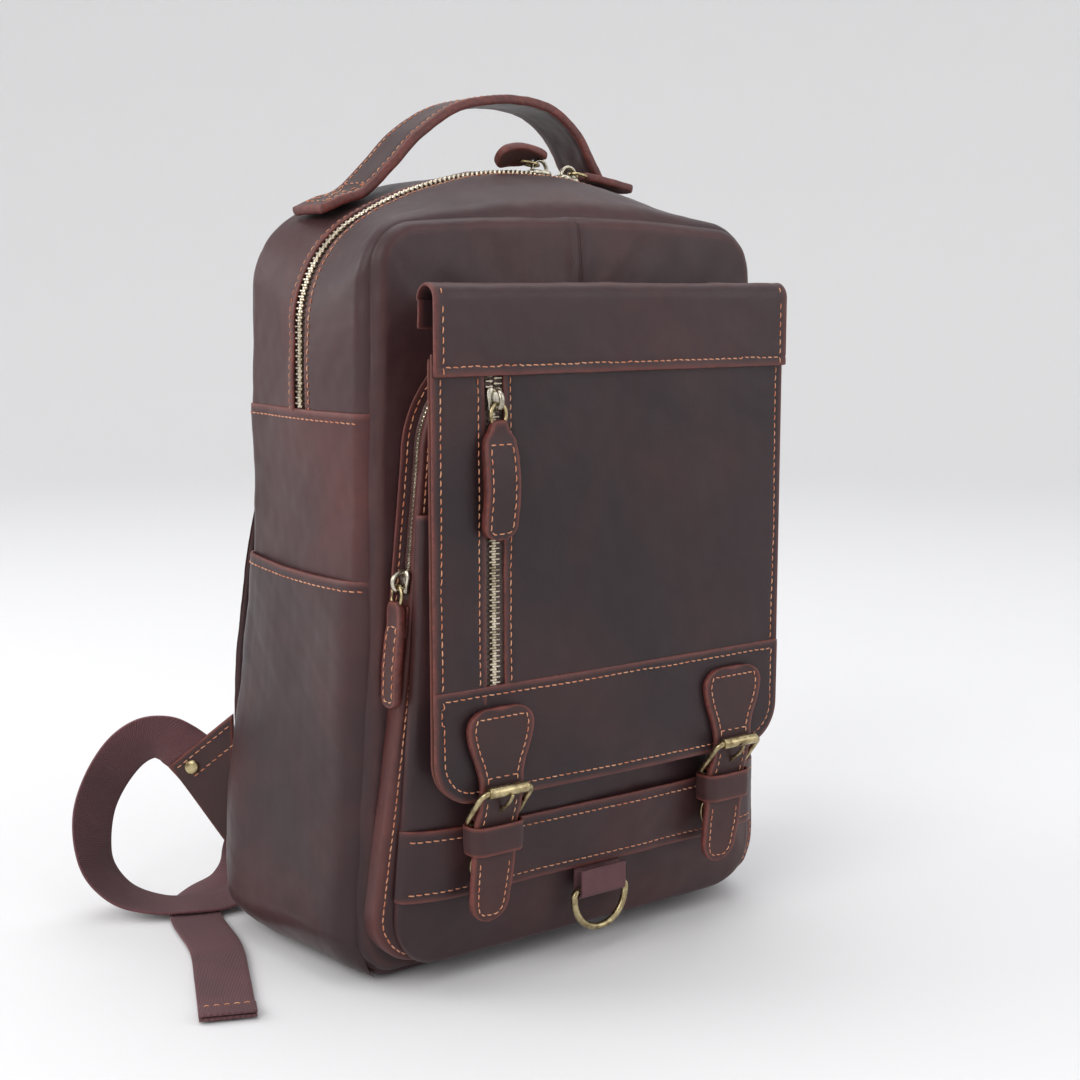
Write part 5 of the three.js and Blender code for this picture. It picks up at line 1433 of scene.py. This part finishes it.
def build_slider(name, at, x_axis, z_axis, pull, half, lift=0.0, bow=0.0, aside=0.0, bent=None):
    """A slider with its ring and pull. pull and half are the pull's length and half width, and bent is the
    curl of a pull that doesn't lie flat."""
    x_axis, z_axis, at = unit(x_axis), unit(z_axis), np.array(at, float)
    first, _, last = name.partition("_")
    body, hanging = (f"{first}_{part}" + (f"_{last}" if last else "") for part in ("slider", "pull"))
    verts, faces = slider_parts()
    piece = make(f"{name}_slider_case", placed(verts, x_axis, z_axis, at), faces, MATERIAL["nickel"], body)
    declare(piece, f"{name}_slider")

    a = np.linspace(0, 2 * math.pi, 40, endpoint=False)
    wide = RING_R * np.sin(a) * (1 + 0.1 * np.cos(a))
    oval = np.stack([RING_NEAR_X + RING_LENGTH * (1 - np.cos(a)), wide, 0 * a + RING_Z], 1)
    verts, faces = tube(oval, 0.9, 12, True, UPWARD)
    brass(f"{name}_ring_wire", placed(verts, x_axis, z_axis, at, lift), faces, hanging, f"{name}_ring")

    # The pull: two layers sewn round the ring's far end. It narrows to the ring and has a rounded tip.
    start = RING_NEAR_X + 2 * RING_LENGTH - 2.9
    if bent:
        centre = spline([(a, 0, b) for a, b in bent], 200)
        run = run_of(centre)
        pull = run[-1]
    s = np.concatenate([[0, 0.3, 0.8, 1.5], tip_spaced(pull, half * 0.8, 1.4)[2:]])
    width = np.interp(s, [0, 1.0, 4, 9, 17, pull], [3.2, 4.1, 5.0, half - 0.9, half, half])
    tip = np.clip(s - (pull - half * 0.8), 0, half * 0.8) / (half * 0.8)
    width = np.maximum(width * np.sqrt(np.maximum(1 - tip ** 2.4, 0.0)), 0.6)
    if bent:
        path = at_run(s, run, centre)
        lift = 0.0
    else:
        rise = bow * np.sin(math.pi * np.clip((s / pull - 0.1) / 0.9, 0, 1)) ** 1.2
        path = np.stack([start + s, aside * smooth(s / 14), RING_Z + rise], 1)
    tipped = np.radians(PULL_TIP if bent else 0) * smooth(s / 14)
    across = np.stack([0 * s, -np.cos(tipped), -np.sin(tipped)], 1)
    grid, across, normal = strap_grid(path, width, across, 13, toward=UPWARD)
    grid = grid + normal[:, None] * PULL_R
    flat = placed(grid.reshape(-1, 3), x_axis, z_axis, at, lift).reshape(grid.shape)
    if np.dot(grid_normals(flat)[len(s) // 2, 6], z_axis) < 0:
        flat = flat[:, ::-1]
    flat = lived_in(flat, 91 + len(name), low=0.25)
    piece = sheet(f"{name}_pull_leather", flat, PULL_THICK, MATERIAL["strap_leather"], hanging,
                  edge_wear=2.2, bulge=0.8)
    declare(piece, f"{name}_pull")
    inset = 2.7 if half > 6.5 else 2.1
    pick = (s > 11) & (s < pull - 4.2)
    beside, above = (width[pick] - inset)[:, None] * across[pick], 2.3 * normal[pick]
    left, right = (path[pick] + way * beside + above for way in (-1, 1))
    i = np.searchsorted(s, pull - 3.6)
    end = np.array([path[i] + v * across[i] + 2.3 * normal[i] for v in (half * 0.45, 0, -half * 0.45)])
    whole = np.concatenate([left[::-1], right, end, left[-1:]])
    stitch(placed(whole, x_axis, z_axis, at, lift), piece.name, hanging, pitch=4.4, normal=z_axis, seed=26)


def build_sliders():
    build_slider("flap", (FLAP_ZIP_X, FLAP_FRONT_Y, 304), (0, 0, -1), FORWARD, 58, 9.5, bow=3.4)
    o, z = ORGANIZER, 214
    slope = (o["bottom_half"] - o["top_half"]) / (o["top"] - o["top_r"] - o["bottom"] - o["bottom_r"])
    x = slope * (z - o["bottom"] - o["bottom_r"]) - o["bottom_half"]
    y = panel_face_y(x, z) - GAP - ORGANIZER_DEPTH / 2
    build_slider("organizer", (x, y, z), (-slope, 0, -1), (-1, 0, slope), 52, 6, bow=1.2, aside=2.4)
    y = lerp(FRONT_Y, BACK_Y, ZIP_SHARE)
    curled = [(-1.5, 10.6), (4, 11.0), (11, 9.6), (20, 8.6), (29, 5.6)]
    for name, degrees, lift, bent in (("left", 5, 6, curled), ("right", 10.5, 0, None)):
        side, a = SIDES[name], math.radians(degrees)
        normal = np.array([math.sin(a), 0, math.cos(a)])
        along = np.array([math.cos(a), 0, -math.sin(a)]) * side
        place = (MAIN_ZIP_R * normal[0], y, MAIN_ZIP_CENTRE_Z + MAIN_ZIP_R * normal[2])
        build_slider(f"main_{name}", place, along, normal, 34, 7, lift, bent=bent)


# ---------------------------------------------------------------- handle
def handle_seat(x):
    """A place on the middle of the handle's leather where it lies on the crown."""
    r = BACK_OUTLINE["crown_r"]
    crown = BACK_OUTLINE["top"] - r + math.sqrt(r ** 2 - x * x)
    return x, HANDLE_Y, crown + HANDLE_THICK / 2 + 1


def build_handle():
    y, half, thick, pad_end, pad_start = HANDLE_Y, HANDLE_HALF, HANDLE_THICK, 110, 84
    pad = [handle_seat(x) for x in (pad_start, 97, pad_end)]
    arch = [(-67, 423), (-48, 441), (-22, 456), (10, 461), (38, 457.5), (58, 444), (71, 425)]
    path = spline([(-a, b, c) for a, b, c in pad[::-1]] + [(x, y, z) for x, z in arch] + pad, 190)
    grid, _, normal = strap_grid(path, np.full(len(path), half), across=BACKWARD, columns=17, toward=UPWARD)
    x = path[:, 0]
    crease = 0.5 * waves(grid, 13, 101) * smooth((x - 5) / 25)[:, None] * (1 - smooth((x - 70) / 10))[:,
            None]
    edge = half - abs(grid[..., 1] - y)
    grid = grid + normal[:, None] * (thick / 2 - stitch_dent(edge, 3.6) + 0.35 * crease)[..., None]
    grid = lived_in(grid, 102, low=0.3)
    piece = sheet("handle_leather", grid, thick, MATERIAL["strap_leather"], "root", edge_wear=2.4,
                  bulge=1.1)
    declare(piece, "top_handle")
    for way in (-1, 1):
        stitch(path[4:-4] + normal[4:-4] * 4 + [0, way * (half - 3.6), 0], piece.name, seed=27)

    # A box with a cross in it at each end.
    for side in (-1, 1):
        near, far = ([np.array(handle_seat(side * x)) + [0, v, 4] for v in (-11.4, 11.4)]
                     for x in (pad_start - 2, pad_end - 3.6))
        for a, b in (near, far, (near[0], far[1]), (near[1], far[0])):
            stitch([lerp(a, b, t) for t in np.linspace(0, 1, 12)], piece.name, normal=UPWARD, seed=28)


# ---------------------------------------------------------------- shoulder straps and webbing
STRAP_SEAM = 6.5
STRAP_POINTS = [(40, 90, 393, 21), (43, 101, 374, 22), (54, 116, 325, 25), (70, 121, 262, 26),
                (85, 122, 200, 25), (97, 122, 140, 21), (103, 121, 104, 17), (104, 121, 84, 15.5)]
WEBBING_ROUTE = [(148, 111.6, 91.6, -50, 90), (155.6, 118, 98.6, -50, 90), (162, 123, 103, -50, 80),
                 (171, 130.5, 103, -50, 66), (180.5, 138.5, 95, -50, 56), (189.5, 146, 79, -50, 47),
                 (195.5, 151, 60, -50, 38), (196.5, 152, 39, -50, 26), (193, 149.5, 22.5, -50, 14),
                 (183, 141, 9.5, -50, 5), (168, 128, 4.4, -50, 0), (151, 118, 4.2, -62, 0),
                 (133, 114, 4.2, -80, 0), (117, 116.5, 9.5, -105, 0), (107.5, 120, 23, -145, 0),
                 (104, 121, 40, -180, 0), (104, 121, 57, -180, 0), (104, 121.6, 68, -180, 0)]
TAIL_ROUTES = {"left": [(104, 126, 70, -180, 0), (104, 130, 57, -180, 0), (105, 133, 36, -165, 0),
                        (110, 137, 16, -130, 0), (119, 139.5, 5, -107, 0), (133, 137, 1.8, -117, 0),
                        (148, 123, 1.3, -138, 0), (158, 98, 1.3, -162, 0), (168, 55, 1.3, -166, 0),
                        (184, 15, 1.3, -159, 0), (204, -32, 1.3, -157, 0)],
               "right": [(104, 126, 70, -180, 0), (104, 130, 57, -180, 0), (104, 134, 36, -180, 0),
                         (105, 142, 15, -180, 0), (106, 152, 4.8, -182, 0), (108, 165, 1.6, -184, 0),
                         (110, 180, 1.3, -184, 0), (112, 205, 1.3, -183, 0)]}


def ribbon_grid(route, side, count):
    """Points of a band of webbing. Each point of its route has a place, a heading and a twist, as in the CAD."""
    p = np.asarray(route, float)
    q = np.concatenate([2 * p[:1] - p[1:2], p, 2 * p[-1:] - p[-2:-1]])
    share = np.linspace(0, len(p) - 1, count)
    i = np.minimum(share.astype(int), len(p) - 2)
    t = (share - i)[:, None]
    at = catmull_rom(q[i], q[i + 1], q[i + 2], q[i + 3], t)
    place, heading, twist = at[:, :3] * [side, 1, 1], np.radians(at[:, 3]), np.radians(at[:, 4])
    along = unit(np.gradient(place, axis=0))
    level = np.stack([side * np.cos(heading), np.sin(heading), 0 * heading], 1)
    upright = unit(np.cross(along, level)) * (-side * np.sin(twist))[:, None]
    across = level * np.cos(twist)[:, None] + upright
    across = unit(across - along * np.sum(across * along, 1, keepdims=True))
    u = np.linspace(-1, 1, 13)
    return place[:, None] + across[:, None] * (WEBBING_HALF * u)[None, :, None], unit(np.cross(along,
            across))


def build_webbing(name, side):
    mirror = np.array([side, 1, 1])
    strap_body, tail = f"shoulder_strap_{name}", [np.array(point[:3]) * mirror for point
                                                  in TAIL_ROUTES[name]]
    for kind, route, count, fixed, free in (
            ("webbing", WEBBING_ROUTE, 210, (side * 0.128, 0, 0), (side * 0.106, 0, 0)),
            ("webbing_tail", TAIL_ROUTES[name], 150, tail[4] * MM, tail[1] * MM)):
        grid, normal = ribbon_grid(route, side, count)
        grid = grid + normal[:, None] * WEBBING_THICK / 2
        piece = webbing_piece(f"{kind}_band_{name}", grid, WEBBING_THICK, None, 0.35, f"{kind}_{name}")
        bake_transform(piece)

    # The tail's end is folded over and sewn down.
    end, back = tail[-1], unit(tail[-2] - tail[-1])
    cross = unit(np.cross(back, UPWARD))
    fold = np.array([[end + back * a + cross * b + [0, 0, 2.9 - 0.5 * (a > 12)] for b
                      in np.linspace(-WEBBING_HALF, WEBBING_HALF, 13)] for a in np.linspace(-0.3, 12.5, 9)])
    if grid_normals(fold)[4, 6][2] < 0:
        fold = fold[:, ::-1]
    piece = webbing_piece(f"webbing_hem_{name}", fold, 1.2, "root", 0.5)
    line = [end + back * 10 + cross * b + [0, 0, 4] for b in np.linspace(-12.5, 12.5, 12)]
    stitch(line, piece.name, normal=UPWARD, seed=29)


def build_tab(name, side):
    """A three-cornered tab of leather that holds the webbing at the back seam."""
    corners = ((133, 97.5, 118), (133, 98.5, 36), (156, 118, 79), (161, 122.5, 87))
    top_in, foot, tip_low, tip = (np.array(c) * [side, 1, 1] for c in corners)
    face = unit(np.cross(foot - top_in, tip - top_in))
    outward = face if face[1] < 0 else -face
    top, low = ([lerp(a, b, t) for t in np.linspace(0, 1, 26)] for a, b in ((top_in, tip), (foot, tip_low)))
    shares = np.concatenate([np.linspace(0, 0.12, 5), np.linspace(0.16, 1, 24)])
    grid = np.array([[lerp(a, b, t) for a, b in zip(top, low)] for t in shares]) + outward * 1.9
    if np.dot(grid_normals(grid)[12, 12], outward) < 0:
        grid = grid[:, ::-1]
    grid = grid + outward * (0.3 * waves(grid, 40, 111))[..., None]
    piece = sheet(f"tab_leather_{name}", grid, 3.8, MATERIAL["strap_leather"], "root", edge_wear=2.0,
                  facing=outward)
    declare(piece, f"webbing_tab_{name}")
    along = unit(tip - top_in)
    down = unit(np.cross(along, outward))
    down = down if down[2] < 0 else -down
    for d, short_by in ((3.6, 3), (13.4, 7.5)):
        line = [top_in + along * s + down * d for s in np.linspace(5, np.linalg.norm(tip - top_in)
                - short_by, 14)]
        for flip in (1, -1):
            stitch(np.array(line) + outward * flip * 3, piece.name, normal=outward * flip, seed=30)
    dome = [(0.2, 1.9), (2.4, 1.75), (3.6, 1.35), (4.3, 0.7), (4.4, 0.0)]
    centre, axis = tip - along * 10.5 + down * 8.4, np.stack([outward, along, down])
    for place, flip in (("front", 1), ("back", -1)):
        verts, faces = turned([(r, flip * h) for r, h in dome], 32)
        brass(f"rivet_{name}_{place}", verts @ axis + centre + outward * flip * 1.95, faces, "root")


def build_shoulder_strap(name, side):
    p = np.array(STRAP_POINTS, float)
    path = spline(p[:, :3] * [side, 1, 1], 150)
    half = np.interp(-path[:, 2], -p[:, 2], p[:, 3])
    grid, across, normal = strap_grid(path, half, columns=25, toward=BACKWARD)
    edge = half[:, None] - np.linalg.norm(grid - path[:, None], axis=-1)
    plump = 3.4 * np.sqrt(np.clip(edge / 6, 0, 1)) - 0.9 * bump_at(edge - STRAP_SEAM, 1.3)
    front = lived_in(grid + normal[:, None] * plump[..., None], 121, 0.5)
    back = lived_in(grid - normal[:, None] * plump[..., None], 125, 0.5)
    ring = np.concatenate([front, back[:, ::-1]], 1)
    body = f"shoulder_strap_{name}"
    wear = 0.4 * np.clip(1 - np.concatenate([edge, edge[:, ::-1]], 1) / 3.0, 0, 1)
    faces = capped_faces(*ring.shape[:2])
    piece = make(f"arm_strap_{name}", ring.reshape(-1, 3), faces, MATERIAL["leather"], body, wear,
                 merge=True)
    declare(piece, body)
    for way in (-1, 1):
        line = path + across * (way * (half - STRAP_SEAM))[:, None] + normal * 3
        stitch(line[3:-3], piece.name, body, normal=BACKWARD, seed=31)

    # The glide: a flat brass frame with two slots.
    low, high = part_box(f"strap_glide_{name}")
    x, y, z = (low + high) / 2 / MM
    bars = [([(x + v, y, z + dz) for v in np.linspace(-17.4, 17.4, 12)], 1.2) for dz in (-8.9, 0, 8.9)]
    bars += [([(x + dx, y, z + v) for v in np.linspace(-9.2, 9.2, 10)], 1.45) for dx in (-17.3, 17.3)]
    parts = [tube(line, r, 14, normal=BACKWARD) for line, r in bars]
    brass(f"glide_{name}", *joined(parts), body, f"strap_glide_{name}")


def build_yoke():
    """The patch on the back that covers the tops of the shoulder straps."""
    top, foot, half = 404, 372, 72
    x, z = np.meshgrid(np.linspace(half, -half, 60), np.linspace(top, foot, 18))
    y = back_face_y(x, z) + 2.0 + 6.5 * bump_at(abs(x) - 40, 21, 4) * smooth((top - z) / 14)
    grid = np.stack([x, y, z], -1)[:, ::-1]
    if grid_normals(grid)[9, 30][1] < 0:
        grid = grid[:, ::-1]
    piece = sheet("yoke", lived_in(grid, 131, 0.3), 2.0, MATERIAL["leather"], "root", edge_wear=2.2)
    for z in (top - 4, foot + 4):
        line = [(a, back_face_y(a, z) + 12, z) for a in np.linspace(4 - half, half - 4, 60)]
        stitch(line, "yoke", normal=BACKWARD, seed=32)


# ---------------------------------------------------------------- inside
def finish_inside():
    """The CAD's own sealed inner pieces keep their shape, in lining cloth."""
    for name in ("base_board", "laptop_divider"):
        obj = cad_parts[name]
        obj.data.materials.clear()
        obj.data.materials.append(MATERIAL["lining"])


# ---------------------------------------------------------------- stage
def build_stage():
    """A pale floor that sweeps up into a pale wall all round."""
    low, flat, bend, around = -0.001, 2.4, 1.6, 72
    heights = [(0, low)] + [(r, low) for r in np.linspace(0.3, flat, 6)]
    heights += [(flat + bend * s, bend - bend * c + low) for c, s in arc_turn(0.15, math.pi / 2, 12)]
    heights += [(flat + bend, 2 * bend)]
    a = np.linspace(0, 2 * math.pi, around, endpoint=False)
    verts = [(r * math.cos(v), r * math.sin(v), h) for r, h in heights for v in a]
    faces = grid_faces(len(heights), around, closed=True)
    m, tree, shader, place = new_material("studio_sweep")
    reach = node(tree, "ShaderNodeVectorMath", {0: place}, operation="LENGTH").outputs["Value"]
    tone = remap(tree, reach, 0.3, 3.6, 0, 1)
    tree.links.new(mixed(tree, tone, (0.75, 0.75, 0.755, 1), (0.765, 0.765, 0.765, 1)),
                   shader.inputs["Base Color"])
    set_plain(shader, Roughness=0.9)
    floor = make("floor", np.array(verts) / MM, faces, m)


def area_light(name, location, size, power, tint=(1, 1, 1)):
    """A square light that faces the middle of the bag."""
    data = bpy.data.lights.new(name, "AREA")
    data.shape, data.size, data.energy, data.color = "SQUARE", size, power, tint
    light = bpy.data.objects.new(name, data)
    bpy.context.scene.collection.objects.link(light)
    light.location = location
    light.rotation_euler = (Vector((0, 0, 0.2)) - Vector(location)).to_track_quat("-Z", "Y").to_euler()


def build_camera_and_lights():
    scene = bpy.context.scene
    turn, tilt = math.radians(-36.775), math.radians(8.322)
    forward = Vector((-math.sin(turn) * math.cos(tilt), math.cos(turn) * math.cos(tilt), -math.sin(tilt)))
    data = bpy.data.cameras.new("camera")
    data.lens, data.sensor_width = 57.33, 36
    camera = bpy.data.objects.new("camera", data)
    scene.collection.objects.link(camera)
    camera.location = (-0.5629, -0.7689, 0.3573)
    camera.rotation_euler = forward.to_track_quat("-Z", "Y").to_euler()
    scene.camera = camera
    scene.view_settings.view_transform = "Standard"
    world = bpy.data.worlds.new("studio")
    scene.world = world
    world.use_nodes = True
    background = world.node_tree.nodes["Background"]
    background.inputs["Color"].default_value = (0.98, 0.98, 1.0, 1)
    background.inputs["Strength"].default_value = 0.85
    area_light("key", (-2.3, -1.0, 1.7), 1.6, 30, (1, 0.985, 0.965))
    area_light("fill", (1.4, -2.0, 1.2), 1.8, 14, (0.97, 0.98, 1))
    area_light("rim", (-1.6, 1.3, 1.1), 1.2, 16)
    area_light("top", (0.3, 0.3, 2.4), 1.8, 18)


build_camera_and_lights()
build_stage()
build_body()
build_side_pockets()
build_main_zip()
build_organizer()
build_flap_pocket()
build_flap()
for name, side in SIDES.items():
    build_buckled_strap(name, side)
    build_buckle(name, side)
    build_snap(name, side)
    build_shoulder_strap(name, side)
    build_webbing(name, side)
    build_tab(name, side)
build_d_ring()
build_sliders()
build_handle()
build_yoke()
finish_inside()
finish_stitches()
